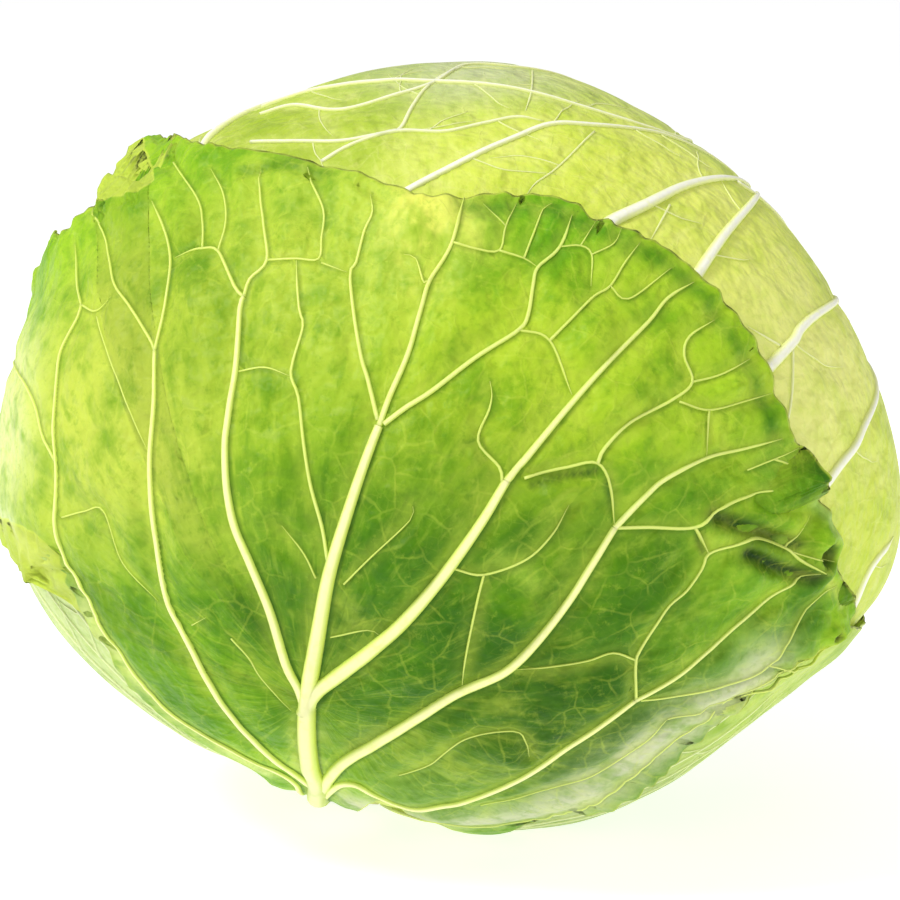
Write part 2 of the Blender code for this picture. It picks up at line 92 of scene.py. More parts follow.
# Distance from the centre: an ellipsoid's radius, plus a bell for each swelling
def headRadius(d):
    half = [head[size] / 2 - head["layers"] for size in ("length", "height", "depth")]
    parts = [d @ axis / h for axis, h in zip((longAxis, shortAxis, eyeAxis), half)]
    r = 1.0 / np.sqrt(sum(part ** 2 for part in parts))
    for angle, span, rise in head["swellings"]:
        a = math.radians(angle)
        away = angleFrom(d, np.array((math.cos(a), math.sin(a), 0.0)))
        r = r + rise * np.exp(-(away / span) ** 2)
    span, depth = head["hollow"]
    return r - depth * np.exp(-(angleFrom(d, -crown) / span) ** 2)


# Where the eye's line through a drawing place meets the head, as a direction: a guess that each
# turn moves half way to the surface
def drawn(places):
    x, y = np.array(places, float).T
    right = (x - head["drawingCentre"][0]) * head["unit"]
    up = (head["drawingCentre"][1] - y) * head["unit"]
    near = np.full(len(x), head["depth"] / 3)
    for _ in range(80):
        shrink = 1.0 - near / head["eye"]
        p = np.stack((right * shrink, up * shrink, near), 1)
        reach = headRadius(unit(p)) + 2 * (head["blade"] + head["air"])
        near = 0.5 * (near + np.sqrt(np.maximum(reach ** 2 - p[:, 0] ** 2 - p[:, 1] ** 2, 0.0)))
    return unit(p)


# Directions of (azimuth, degrees from the stem) pairs; azimuth 0 faces the eye
def turned(pairs):
    azimuth, polar = np.radians(np.array(pairs, float).T)
    flat = np.outer(np.cos(azimuth), front) + np.outer(np.sin(azimuth), side)
    return flat * np.sin(polar)[:, None] - np.outer(np.cos(polar), crown)


# Directions on the ring round the stem where the blades begin, from one azimuth to another
def roundStem(start, end):
    return turned([(a, head["baseEdge"]) for a in np.linspace(start, end, 7)])


# Catmull-Rom curve through the points, with a point about every step
def spline(points, step):
    points = np.asarray(points, float)
    ends = np.vstack((2 * points[0] - points[1], points, 2 * points[-1] - points[-2]))
    out = []
    for a, b, c, d in zip(ends, ends[1:], ends[2:], ends[3:]):
        n = max(1, round(np.linalg.norm(c - b) / step))
        t = np.linspace(0.0, 1.0, n, endpoint=False)[:, None]
        square = t ** 2 * (a - 2.5 * b + 2 * c - 0.5 * d)
        cube = t ** 3 * (1.5 * b - 0.5 * a - 1.5 * c + 0.5 * d)
        out.append(b + 0.5 * t * (c - a) + square + cube)
    return np.vstack((*out, points[-1:]))


# Points at shares of a curve's length, on its straight pieces
def along(curve, share):
    steps = np.linalg.norm(np.diff(curve, axis=0), axis=1)
    places = np.concatenate(([0.0], np.cumsum(steps))) / steps.sum()
    return np.stack([np.interp(share, places, curve[:, i]) for i in range(curve.shape[1])], 1)


# Value noise, -1 to 1: random numbers on a repeating lattice, eased between its points
def noise(p, size, seed):
    count, shift = 32, 7.3
    table = np.random.default_rng(seed).random((count, count, count)) * 2 - 1
    q = np.asarray(p, float) / size + shift
    cell = np.floor(q).astype(int)
    t = q - cell
    t = t * t * (3 - 2 * t)
    total = 0.0
    for corner in range(8):
        o = np.array((corner & 1, corner >> 1 & 1, corner >> 2 & 1))
        k = (cell + o) % count
        w = np.prod(np.where(o, t, 1 - t), axis=-1)
        total = total + w * table[k[..., 0], k[..., 1], k[..., 2]]
    return total


# Linear colour from a red, green and blue of 0 to 255
def paint(*rgb):
    c = np.array(rgb, float) / 255
    return np.where(c < 0.04045, c / 12.92, ((c + 0.055) / 1.055) ** 2.4)


# How ribs grow by rule, in shares of the leaf or of a width: the midrib, where the side ribs start
# and how evenly, how far out they reach, how they rise, straight and bent, and their forks
growth = dict(
    midrib=1.8, midribEnd=0.92, sway=0.04, start=0.04, stretch=0.66, stagger=0.3, out=0.82, outDraw=0.05,
    end=0.90, rise=(0.45, 0.35), slimmer=0.45, forkEnd=0.93, forkRise=(0.42, -0.08), forkOut=0.13,
    forkWidth=(1.1, 0.8),
)
# Thin side veins: shares of the step between them, degrees they turn off, shares of their reach,
# how far they bend back and waver, and the degrees they keep inside the leaf
twigForm = dict(
    start=(0.6, 0.3), turn=(48, 72), length=(0.6, 1.2), bend=0.45, waver=0.12, end=0.6, inside=1.0,
)


class Leaf:
    # A leaf lies flat in degrees about its own middle: its outline, ribs and colours are there
    def __init__(self, name, middle, base, left, tip, right, waves):
        self.name, self.waves, self.ribs = name, waves, []
        self.middle = turned([middle])[0]
        self.up = unit(crown - (crown @ self.middle) * self.middle)
        self.across = np.cross(self.up, self.middle)
        self.sides = [self.flat(part) for part in (base, left, tip, right)]
        self.outline = self.ring(5.0)
        self.sides = [spline(s, 1.0) for s in self.sides]

    # The outline: base, right side, tip and left side in one loop
    def ring(self, step):
        base, left, tip, right = (spline(s, step) for s in self.sides)
        return np.vstack((base, right[1:], tip[::-1][1:], left[::-1][1:-1]))

    # Each direction keeps its angle from the leaf's middle and the way it lies from there
    def flat(self, d):
        x, y = d @ self.across, d @ self.up
        length = np.maximum(np.hypot(x, y), 1e-9)
        return np.stack((x, y), -1) * (angleFrom(d, self.middle) / length)[..., None]

    # Back from the flat place to a direction
    def raised(self, p):
        away = np.hypot(p[:, 0], p[:, 1])
        x, y = (p / np.maximum(away, 1e-9)[:, None]).T
        turn = np.outer(x, self.across) + np.outer(y, self.up)
        away = np.radians(away)[:, None]
        return np.cos(away) * self.middle + turn * np.sin(away)

    # Degrees in from the outline, negative outside, and the nearest place along it, 0 to 1
    def inside(self, p, outline=None):
        ring = self.outline if outline is None else outline
        best, place, odd = np.full(len(p), 1e9), np.zeros(len(p)), np.zeros(len(p), bool)
        for i, (a, b) in enumerate(zip(ring, np.roll(ring, -1, axis=0))):
            ab = b - a
            t = np.clip((p - a) @ ab / (ab @ ab), 0.0, 1.0)
            away = np.hypot(*(p - a - t[:, None] * ab).T)
            nearer = away < best
            best[nearer] = away[nearer]
            place[nearer] = ((i + t) / len(ring))[nearer]
            spans = (a[1] > p[:, 1]) != (b[1] > p[:, 1])
            if spans.any():
                odd ^= spans & (p[:, 0] < a[0] + (p[:, 1] - a[1]) * ab[0] / ab[1])
        return np.where(odd, best, -best), place

    # Degrees in from the outline for directions
    def depthAt(self, d):
        return self.inside(self.flat(d))[0]

    # Ribs from a list of widths and places, which the given rule makes directions
    def addRibs(self, ribs, directions):
        for start, end, places in ribs:
            widths = start * head["unit"], end * head["unit"]
            self.ribs.append((*widths, self.flat(directions(places))))

    # A midrib and pairs of forked side ribs, laid in shares of the leaf
    def growRibs(self, pairs, stout, slim, seed, hands=(-1, 1)):
        g, rng = growth, random.Random(seed)
        v = np.linspace(0.0, g["midribEnd"], 8)
        sway = np.array([rng.uniform(-g["sway"], g["sway"]) for _ in v])
        self.ribs.append((stout * g["midrib"], slim, self.patch(sway * v, v)))
        for k in range(pairs):
            for hand in (-1, 1):
                start = g["start"] + g["stretch"] * (k + g["stagger"] * (hand > 0)) / pairs
                t = np.linspace(0.0, 1.0, 7)
                u = hand * (g["out"] + rng.uniform(-g["outDraw"], g["outDraw"])) * t
                v = start + (g["end"] - start) * (g["rise"][0] * t + g["rise"][1] * t * t)
                fork = 3 + rng.randrange(2)
                if hand not in hands:
                    continue
                self.ribs.append((stout * (1 - g["slimmer"] * k / pairs), slim, self.patch(u, v)))
                t = np.linspace(0.0, 1.0, 4)
                rise = g["forkRise"][0] * t + g["forkRise"][1] * t * t
                v = v[fork] + (g["forkEnd"] - v[fork]) * rise
                path = self.patch(u[fork] + hand * g["forkOut"] * t, v)
                self.ribs.append((slim * g["forkWidth"][0], slim * g["forkWidth"][1], path))

    # A place at shares u, -1 left to 1 right, and v, 0 base to 1 tip, between the four sides
    def patch(self, u, v):
        s = ((u + 1) / 2)[:, None]
        base, left, tip, right = self.sides
        w = v[:, None]
        across = along(base, s[:, 0]) * (1 - w) + along(tip, s[:, 0]) * w
        upward = along(left, v) * (1 - s) + along(right, v) * s
        low, high = base[0] * (1 - s) + base[-1] * s, tip[0] * (1 - s) + tip[-1] * s
        return across + upward - low * (1 - w) - high * w

    # Thin side veins: each leaves a rib on alternate sides, bends back along it and wavers
    def growTwigs(self, every, reach, width, seed):
        form, rng = twigForm, np.random.default_rng(seed)
        first, draw = form["start"]
        for _, _, path in list(self.ribs):
            line = spline(path, 1.0)
            for k in range(int(len(line) / every)):
                i = int((k + first + draw * rng.random()) * every)
                if i >= len(line) - 2:
                    continue
                ahead = unit(line[i + 2] - line[i])
                hand = 1 if k % 2 else -1
                turn = hand * np.radians(rng.uniform(*form["turn"]))
                t = np.linspace(0.0, 1.0, 6)
                length = reach * rng.uniform(*form["length"])
                heading = math.atan2(ahead[1], ahead[0]) + turn * (1 - form["bend"] * t)
                heading = heading + rng.normal(0, form["waver"], len(t))
                step = np.stack((np.cos(heading), np.sin(heading)), 1) * length / (len(t) - 1)
                twig = line[i] + np.vstack(([0, 0], np.cumsum(step[:-1], axis=0)))
                if self.inside(twig)[0].min() > form["inside"]:
                    self.ribs.append((width, width * form["end"], twig))


leaves = []


# Distance from the centre to a leaf's inner face: the head's radius, an air gap, one blade more
# for each leaf below, and a waved lift that dies away in from the margin. Also how far no leaf
# covers the place, close to its edge and further out
def innerFace(leaf, d, depth, place):
    order = leaves.index(leaf)
    lift = np.full(len(d), head["air"])
    for other in leaves[:order]:
        step = head["blade"] + head["air"]
        lift += step * smooth((other.depthAt(d) + head["climb"] + cover["start"]) / head["climb"])
    shown, free = np.ones(len(d)), np.ones(len(d))
    for other in leaves[order + 1:]:
        over = other.depthAt(d)
        shown = np.minimum(shown, 1 - smooth((over + cover["shown"][0]) / cover["shown"][1]))
        free = np.minimum(free, 1 - smooth((over + cover["free"][0]) / cover["free"][1]))
    clear = smooth((angleFrom(d, -crown) - head["stemClear"][0]) / head["stemClear"][1])
    swing = head["wave"] * smooth(1.2 - depth / head["waveReach"])
    wave = 1.0 + swing * np.sin(2 * math.pi * leaf.waves * place)
    edge = head["lift"] * smooth(1.0 - depth / head["liftReach"]) * clear * wave
    return headRadius(d) + lift + edge * free, shown, free * clear


# A rib's ridge on the blade. Step, margin and tip reach are in degrees, the rest are shares of
# the rib's width; foot is in mm
ridgeForm = dict(
    step=1.2, margin=9.0, width=0.74, tip=0.35, tipReach=4.0, sharp=1.1, foot=0.25, rise=0.34,
)


# For each place: metres to the nearest rib, signed by its side, that rib's half width, how far
# the place is past the rib's flank, and the height of the ribs' bell-shaped ridges
def ribField(leaf, p, taper):
    n, far = len(p), 9.0
    signed, half = np.full(n, far), np.full(n, 0.5 * mm)
    gap, height = np.full(n, far), np.zeros(n)
    for start, end, path in leaf.ribs:
        line = spline(path, ridgeForm["step"])
        low, high = line.min(0) - ridgeForm["margin"], line.max(0) + ridgeForm["margin"]
        near = np.where(((p > low) & (p < high)).all(1))[0]
        q = p[near]
        s, h, g, z = signed[near], half[near], gap[near], height[near]
        count = len(line) - 1
        toEnd = np.cumsum(np.linalg.norm(np.diff(line, axis=0), axis=1)[::-1])[::-1]
        for i in range(count):
            a, ab = line[i], line[i + 1] - line[i]
            t = np.clip((q - a) @ ab / max(ab @ ab, 1e-9), 0.0, 1.0)
            off = (q - a - t[:, None] * ab) * degree
            away = np.hypot(off[:, 0], off[:, 1])
            hand = np.where(ab[0] * off[:, 1] - ab[1] * off[:, 0] < 0, -1.0, 1.0)
            width = (start + (end - start) * (i + t) / count) * ridgeForm["width"]
            if end < taper:
                tip, left = ridgeForm["tip"], toEnd[i] - t * np.hypot(*ab)
                width = width * (tip + (1 - tip) * smooth(left / ridgeForm["tipReach"]))
            nearer = away - width / 2 < g
            g[nearer] = (away - width / 2)[nearer]
            s[nearer] = (away * hand)[nearer]
            h[nearer] = (width / 2)[nearer]
            reach = ridgeForm["sharp"] * width / 2 + ridgeForm["foot"] * mm
            bell = np.clip(1 - (away / reach) ** 2, 0, 1) ** 1.5
            z = np.maximum(z, ridgeForm["rise"] * width * bell)
        signed[near], half[near], gap[near], height[near] = s, h, g, z
    return signed, half, gap, height


# Degrees from places to the nearest point of a path, piece by piece
def distanceTo(p, path):
    best = np.full(len(p), 1e9)
    line = spline(path, 1.5)
    for a, b in zip(line, line[1:]):
        ab = b - a
        t = np.clip((p - a) @ ab / max(ab @ ab, 1e-9), 0.0, 1.0)
        best = np.minimum(best, np.hypot(*(p - a - t[:, None] * ab).T))
    return best


# The inner face's rows and how they crowd at the margin, and where the margin stays calm: degrees
# from the stem and over how many degrees more
shell = dict(rows=12, power=1.5, calm=20.0, calmReach=12.0)


# A closed shell round a hub: columns run out to the margin on the outer face, over a thin
# rim and back to the hub on the inner face
def shellGrid(leaf, hub, columns, rows, power, jag, seed):
    margin = np.vstack((leaf.ring(1.0), leaf.ring(1.0)[:1]))
    place = np.linspace(0.0, 1.0, columns, endpoint=False)
    margin = along(margin, place)
    out = unit(margin - hub)
    loop = np.stack((np.cos(2 * math.pi * place), np.sin(2 * math.pi * place), 0 * place), 1)
    ragged = sum(a * noise(loop * f, 1.0, seed + i) for i, (f, a) in enumerate(jag))
    stay = smooth((angleFrom(leaf.raised(margin), -crown) - shell["calm"]) / shell["calmReach"])
    margin = margin + out * (ragged * stay * mm / degree)[:, None]
    outer = np.linspace(0.0, 1.0, rows) ** power
    inner = np.linspace(1.0, 0.0, shell["rows"])[1:] ** shell["power"]
    share = np.concatenate((outer[1:], inner[:-1]))
    p = hub + (margin - hub)[None] * share[:, None, None]
    isOuter = np.arange(len(share)) < rows - 1
    return p, out, share, isOuter


# One object from closed grids: each has its rows, then a point that closes each end
def closedMesh(name, parts):
    points, loops, starts, count, corner = [], [], [], 0, 0
    for grid, lowPole, highPole in parts:
        n, m = grid.shape[:2]
        i, j = np.meshgrid(np.arange(n - 1), np.arange(m), indexing="ij")
        k = (j + 1) % m
        quads = np.stack((i * m + j, (i + 1) * m + j, (i + 1) * m + k, i * m + k), -1).reshape(-1)
        around = np.arange(m)
        after = (around + 1) % m
        last = (n - 1) * m
        lowFan = np.stack((np.full(m, n * m), around, after), 1)
        highFan = np.stack((np.full(m, n * m + 1), last + after, last + around), 1)
        fans = np.concatenate((lowFan, highFan)).ravel()
        points += [grid.reshape(-1, 3), lowPole[None], highPole[None]]
        loops += [quads + count, fans + count]
        fanCorner = corner + len(quads)
        starts += [np.arange(corner, fanCorner, 4), np.arange(fanCorner, fanCorner + len(fans), 3)]
        count += n * m + 2
        corner = fanCorner + len(fans)
    points, loops, starts = (np.concatenate(v) for v in (points, loops, starts))
    mesh = bpy.data.meshes.new(name)
    mesh.vertices.add(len(points))
    mesh.vertices.foreach_set("co", points.astype(np.float32).ravel())
    mesh.loops.add(len(loops))
    mesh.loops.foreach_set("vertex_index", loops.astype(np.int32))
    mesh.polygons.add(len(starts))
    mesh.polygons.foreach_set("loop_start", starts.astype(np.int32))
    mesh.update(calc_edges=True)
    mesh.validate()
    mesh.shade_smooth()
    piece = bpy.data.objects.new(name, mesh)
    bpy.context.scene.collection.objects.link(piece)
    return piece


# A value, vector or colour for each point, under a name that the finish reads
def addField(piece, name, kind, values):
    field = piece.data.attributes.new(name, kind, "POINT")
    key = "color" if kind == "FLOAT_COLOR" else "vector" if kind == "FLOAT_VECTOR" else "value"
    field.data.foreach_set(key, np.ascontiguousarray(values, dtype=np.float32).ravel())


# The head's centre: where the solids' inner head has its middle, less that of the formula
def headCentre():
    polar, azimuth = np.meshgrid(np.linspace(1, 179, 90), np.linspace(0, 358, 180))
    d = turned(np.stack((azimuth.ravel(), polar.ravel()), 1))
    p = (d * headRadius(d)[:, None]) @ toWorld.T
    low, high = (np.array(c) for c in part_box("inner_head"))
    return (low + high) / 2 - (p.min(0) + p.max(0)) / 2


frontEdge = dict(
    left=((262, 768), (215, 742), (175, 712), (140, 680), (110, 635), (85, 590), (69, 545),
          (40, 520), (8, 500)),
    beyond=((-98, 72), (-100, 88)),
    tip=((60, 232), (75, 240), (105, 212), (145, 200), (160, 180), (165, 147), (185, 145),
         (215, 155), (290, 160), (345, 175), (400, 196), (430, 205), (490, 196), (520, 196),
         (560, 204), (600, 222), (640, 242), (700, 285)),
    right=((380, 798), (430, 815), (490, 826), (553, 806), (591, 795), (625, 778), (661, 754),
           (730, 695), (773, 655), (817, 628), (838, 606), (840, 590), (828, 560), (821, 520),
           (807, 478), (796, 446), (785, 440), (775, 400), (760, 360), (735, 322), (700, 285)),
)

# Front leaf: width at the start, width at the end, places, all in drawing units
frontRibs = (
    (58, 28, ((325, 798), (318, 788), (311, 768))),
    (44, 12, ((326, 800), (318, 788), (311, 765), (308, 730), (309, 694), (316, 644), (330, 572),
              (347, 515), (370, 449), (379, 426))),
    (7, 4, ((378, 420), (368, 380), (360, 351), (350, 277), (356, 262), (365, 232), (374, 216),
            (372, 200))),
    (9, 5, ((379, 426), (390, 396), (408, 354), (421, 310), (430, 280), (452, 245), (464, 201))),
    (8, 5, ((384, 424), (407, 407), (432, 391), (476, 357), (518, 330), (528, 315), (533, 285),
            (538, 267), (559, 248), (570, 219))),
    (26, 12, ((306, 712), (316, 692), (339, 675), (376, 647), (402, 624), (441, 579), (480, 524),
              (506, 481))),
    (11, 5, ((506, 481), (540, 441), (575, 399), (611, 359), (649, 321), (666, 299), (688, 286))),
    (24, 10, ((322, 790), (330, 777), (344, 762), (373, 744), (410, 722), (441, 703), (464, 690), (505, 671),
              (537, 642), (566, 604), (591, 566), (615, 528))),
    (10, 4, ((615, 528), (645, 496), (666, 478), (706, 458), (742, 449), (774, 439))),
    (16, 9, ((326, 794), (338, 786), (356, 782), (378, 792), (400, 799), (440, 797), (464, 794), (505, 778),
             (566, 739), (630, 694))),
    (9, 5, ((630, 694), (668, 673), (706, 645), (744, 614), (770, 591), (799, 567))),
    (16, 8, ((306, 704), (300, 688), (287, 664), (270, 612), (250, 563), (235, 526), (227, 483), (225, 443),
             (228, 417), (235, 366), (240, 308), (244, 297))),
    (6, 4, ((244, 297), (235, 287), (218, 251), (202, 248), (190, 250), (175, 257))),
    (6, 4, ((244, 297), (250, 279), (267, 260), (263, 222), (261, 199), (263, 175))),
    (16, 7, ((312, 785), (300, 775), (285, 762), (267, 744), (238, 710), (212, 670), (192, 632), (175, 601),
             (165, 561), (156, 506), (152, 457), (155, 400), (155, 351))),
    (5, 4, ((155, 351), (149, 337), (129, 305), (115, 285), (110, 257), (108, 234), (103, 216))),
    (6, 4, ((155, 351), (162, 322), (167, 294), (170, 260), (165, 228), (159, 207))),
    (13, 6, ((314, 792), (297, 782), (258, 756), (212, 730), (178, 704), (155, 681), (123, 638), (98, 592),
             (77, 549), (67, 495), (62, 443), (62, 389), (65, 351), (79, 317), (82, 305))),
    (5, 4, ((82, 305), (77, 280), (82, 248))),
    (4, 3, ((82, 305), (97, 311), (113, 294))),
    (6, 3, ((62, 460), (54, 443), (34, 386), (24, 348), (22, 335))),
    (6, 4, ((328, 562), (321, 526), (310, 486), (303, 443), (298, 397), (291, 377), (293, 360),
            (303, 326), (299, 308), (296, 260))),
    (4, 4, ((267, 260), (296, 258), (318, 258), (321, 237), (324, 211), (313, 185), (311, 174))),
    (3, 3, ((321, 262), (347, 272))),
    (3, 3, ((238, 371), (264, 367), (290, 376))),
    (4, 3, ((202, 248), (202, 222), (198, 199), (184, 176), (174, 160))),
    (4, 3, ((218, 251), (225, 222), (224, 194), (216, 175))),
    (4, 2, ((430, 280), (424, 283), (416, 260), (404, 256))),
    (4, 3, ((453, 245), (475, 250), (499, 251), (505, 229), (516, 205))),
    (3, 2, ((505, 229), (483, 208))),
    (4, 4, ((499, 251), (524, 258), (538, 267))),
    (4, 3, ((524, 258), (534, 232), (542, 212), (550, 207))),
    (4, 4, ((518, 329), (550, 340), (572, 395))),
    (5, 3, ((550, 340), (572, 318), (594, 296), (610, 286), (623, 264), (635, 248))),
    (3, 3, ((610, 286), (628, 299), (665, 273))),
    (3, 3, ((559, 248), (579, 248), (590, 257), (591, 286))),
    (3, 2, ((579, 248), (594, 224))),
    (3, 2, ((590, 257), (610, 248), (617, 234))),
    (5, 3, ((502, 483), (499, 467), (478, 441), (489, 410), (492, 394), (490, 381))),
    (3, 3, ((478, 441), (468, 445))),
    (5, 4, ((524, 478), (545, 472), (566, 467), (596, 463), (610, 489), (615, 527))),
    (6, 4, ((596, 463), (604, 448), (630, 422), (671, 400), (692, 382), (684, 356), (688, 337), (710, 322))),
    (4, 3, ((692, 382), (719, 375), (746, 360))),
    (4, 3, ((678, 402), (709, 410), (744, 401), (768, 394))),
    (4, 4, ((709, 410), (707, 434), (706, 458))),
    (6, 4, ((615, 528), (648, 527), (690, 526), (713, 509), (749, 494), (772, 490), (797, 490))),
    (5, 5, ((690, 526), (699, 541), (704, 552))),
    (5, 5, ((631, 693), (631, 661), (636, 645), (661, 607), (683, 589), (698, 567), (704, 552),
            (726, 544), (749, 536), (776, 545), (791, 559), (802, 566))),
    (3, 2, ((776, 545), (790, 530), (799, 513))),
    (3, 2, ((782, 549), (800, 554), (817, 556))),
    (4, 2, ((631, 655), (610, 649), (585, 658), (550, 665), (515, 669))),
    (4, 3, ((636, 694), (665, 691), (706, 681), (754, 656), (783, 622), (809, 591), (825, 582))),
    (3, 2, ((754, 656), (779, 656), (806, 634))),
    (4, 3, ((454, 569), (484, 575), (527, 559), (553, 534), (569, 505))),
    (4, 3, ((484, 575), (476, 607), (465, 661), (462, 687))),
    (3, 3, ((400, 770), (429, 760), (464, 735), (512, 725), (524, 735), (527, 748))),
    (3, 3, ((480, 799), (520, 790), (564, 776), (600, 760), (642, 732), (662, 712))),
    (5, 3, ((392, 806), (440, 816), (500, 818), (550, 806), (600, 780), (654, 742), (690, 714),
            (738, 676), (786, 646))),
    (3, 3, ((662, 712), (700, 698), (754, 678), (790, 652))),
    (3, 2, ((344, 584), (370, 558), (410, 520), (413, 506))),
    (3, 2, ((330, 638), (367, 631), (382, 638))),
    (3, 2, ((316, 578), (304, 555), (281, 526))),
    (3, 2, ((235, 635), (252, 655), (264, 675), (293, 707))),
    (3, 2, ((198, 621), (211, 614))),
    (3, 2, ((75, 515), (92, 510), (109, 510), (129, 561), (164, 598))),
    (3, 2, ((98, 317), (123, 389), (143, 437), (152, 455))),
    (3, 3, ((746, 470), (769, 459), (791, 448))),
    (4, 3, ((769, 459), (784, 466), (799, 486))),
)

# Crown leaf: the ribs that show past the front leaf
crownRibs = (
    (9, 5, ((396, 190), (432, 171), (470, 152), (518, 131), (553, 122), (598, 125), (642, 130),
            (681, 141), (719, 162), (751, 178))),
    (3, 2, ((595, 130), (559, 162), (537, 178), (528, 190))),
    (16, 6, ((600, 232), (614, 217), (649, 200), (681, 184), (706, 178), (732, 179), (754, 187))),
    (3, 2, ((674, 200), (655, 235))),
    (13, 8, ((688, 292), (722, 241), (744, 213), (756, 193))),
    (14, 5, ((766, 380), (773, 369), (799, 340), (815, 318), (831, 292), (845, 240))),
    (4, 3, ((786, 343), (754, 324))),
    (4, 3, ((799, 347), (799, 385), (795, 417), (787, 436))),
    (13, 6, ((822, 498), (846, 467), (862, 445), (870, 419), (874, 385), (872, 350))),
    (13, 8, ((850, 622), (862, 596), (876, 566), (893, 537))),
    (7, 5, ((247, 136), (287, 135), (342, 135), (400, 125), (445, 125), (486, 117), (518, 114), (544, 119))),
    (6, 4, ((319, 156), (350, 139), (388, 126), (400, 122), (413, 99), (430, 82), (467, 67))),
    (7, 5, ((258, 110), (290, 100), (344, 102), (430, 82), (467, 67), (521, 69), (591, 85), (639, 107))),
    (3, 3, ((532, 72), (531, 92), (526, 109))),
)
# The same leaf's ribs out of the eye's sight: azimuth and degrees from the stem
crownFarRibs = (
    (20, 12, ((-25, 16), (-35, 60), (-52, 100), (-75, 128), (-115, 148))),
    (9, 5, ((-78, 130), (-40, 152), (40, 160), (120, 158))),
    (8, 5, ((-60, 110), (-84, 114), (-104, 118))),
    (8, 5, ((60, 150), (90, 143), (122, 140))),
    (8, 5, ((82, 128), (100, 124), (118, 118))),
    (8, 5, ((84, 104), (98, 98), (108, 90))),
    (9, 5, ((-115, 148), (-145, 152), (180, 156))),
)
# Ribs of the strips that show low at the right and low at the left
rightPath = ((34, 15), (34, 30), (40, 45), (48, 60), (54, 76))
leftPath = ((-34, 15), (-42, 32), (-52, 45), (-62, 56), (-74, 70))
rightStrip = [(width, 4, [(a + turn, polar) for a, polar in rightPath])
              for turn, width in ((4, 7), (10, 9), (16, 6), (24, 8), (34, 8))]
leftStrip = [(width, 4, [(a - turn, polar) for a, polar in leftPath])
             for turn, width in ((0, 8), (9, 6), (18, 8))]


# The leaves, innermost first: middle, the four sides and how many waves the edge has
def makeLeaves():
    back = Leaf("crown_back_leaf", (175, 95), roundStem(125, 225),
                turned([(125, 12), (100, 40), (86, 80), (78, 120), (60, 150)]),
                turned([(60, 150), (0, 158), (-60, 150)]),
                turned([(225, 12), (252, 40), (266, 80), (274, 120), (300, 150)]), 8)
    back.growRibs(4, 0.0030, 0.0019, 5)
    over = Leaf("crown_leaf", (0, 98), roundStem(-45, 45),
                turned([(-45, 12), (-72, 32), (-94, 60), (-104, 90), (-110, 118), (-122, 140)]),
                turned([(-122, 140), (-150, 153), (180, 158), (150, 153), (128, 138)]),
                turned([(45, 12), (72, 32), (94, 60), (104, 90), (116, 116), (128, 138)]), 10)
    over.addRibs(crownRibs, drawn)
    over.addRibs(crownFarRibs, turned)
    right = Leaf("right_leaf", (120, 62), roundStem(70, 170),
                 turned([(70, 12), (36, 28), (24, 48), (36, 72)]),
                 turned([(36, 72), (62, 86), (90, 88), (118, 101), (150, 110), (178, 106), (196, 92)]),
                 turned([(170, 12), (192, 30), (204, 58), (196, 92)]), 9)
    right.growRibs(7, 0.0032, 0.0019, 11, hands=(1,))
    right.addRibs(rightStrip, turned)
    left = Leaf("left_leaf", (-120, 62), roundStem(-172, -60),
                turned([(-172, 12), (-196, 30), (-204, 60), (-194, 90)]),
                turned([(-194, 90), (-168, 106), (-140, 112), (-114, 98), (-92, 80), (-62, 76), (-34, 70)]),
                turned([(-60, 12), (-30, 28), (-22, 48), (-34, 70)]), 9)
    left.growRibs(7, 0.0032, 0.0019, 23, hands=(-1,))
    left.addRibs(leftStrip, turned)
    base, tip = roundStem(-30, 26), drawn(frontEdge["tip"])
    big = Leaf("front_leaf", (-8, 78), base,
               np.vstack((base[:1], drawn(frontEdge["left"]), turned(frontEdge["beyond"]), tip[:1])),
               tip, np.vstack((base[-1:], drawn(frontEdge["right"]))), 14)
    big.addRibs(frontRibs, drawn)
    return [back, over, right, left, big]


# What the paler leaves share
paleLook = dict(
    jag=((8, 0.8), (26, 0.5), (60, 0.3)), swells=((24.0, 0.55), (11.0, 0.30), (5.0, 0.12)),
    quilt=0.7, paler=0.45, taper=0.002, ribWidth=0.85,
    strokes=(), curls=(), pleats=(), cups=(), bumps=(),
)
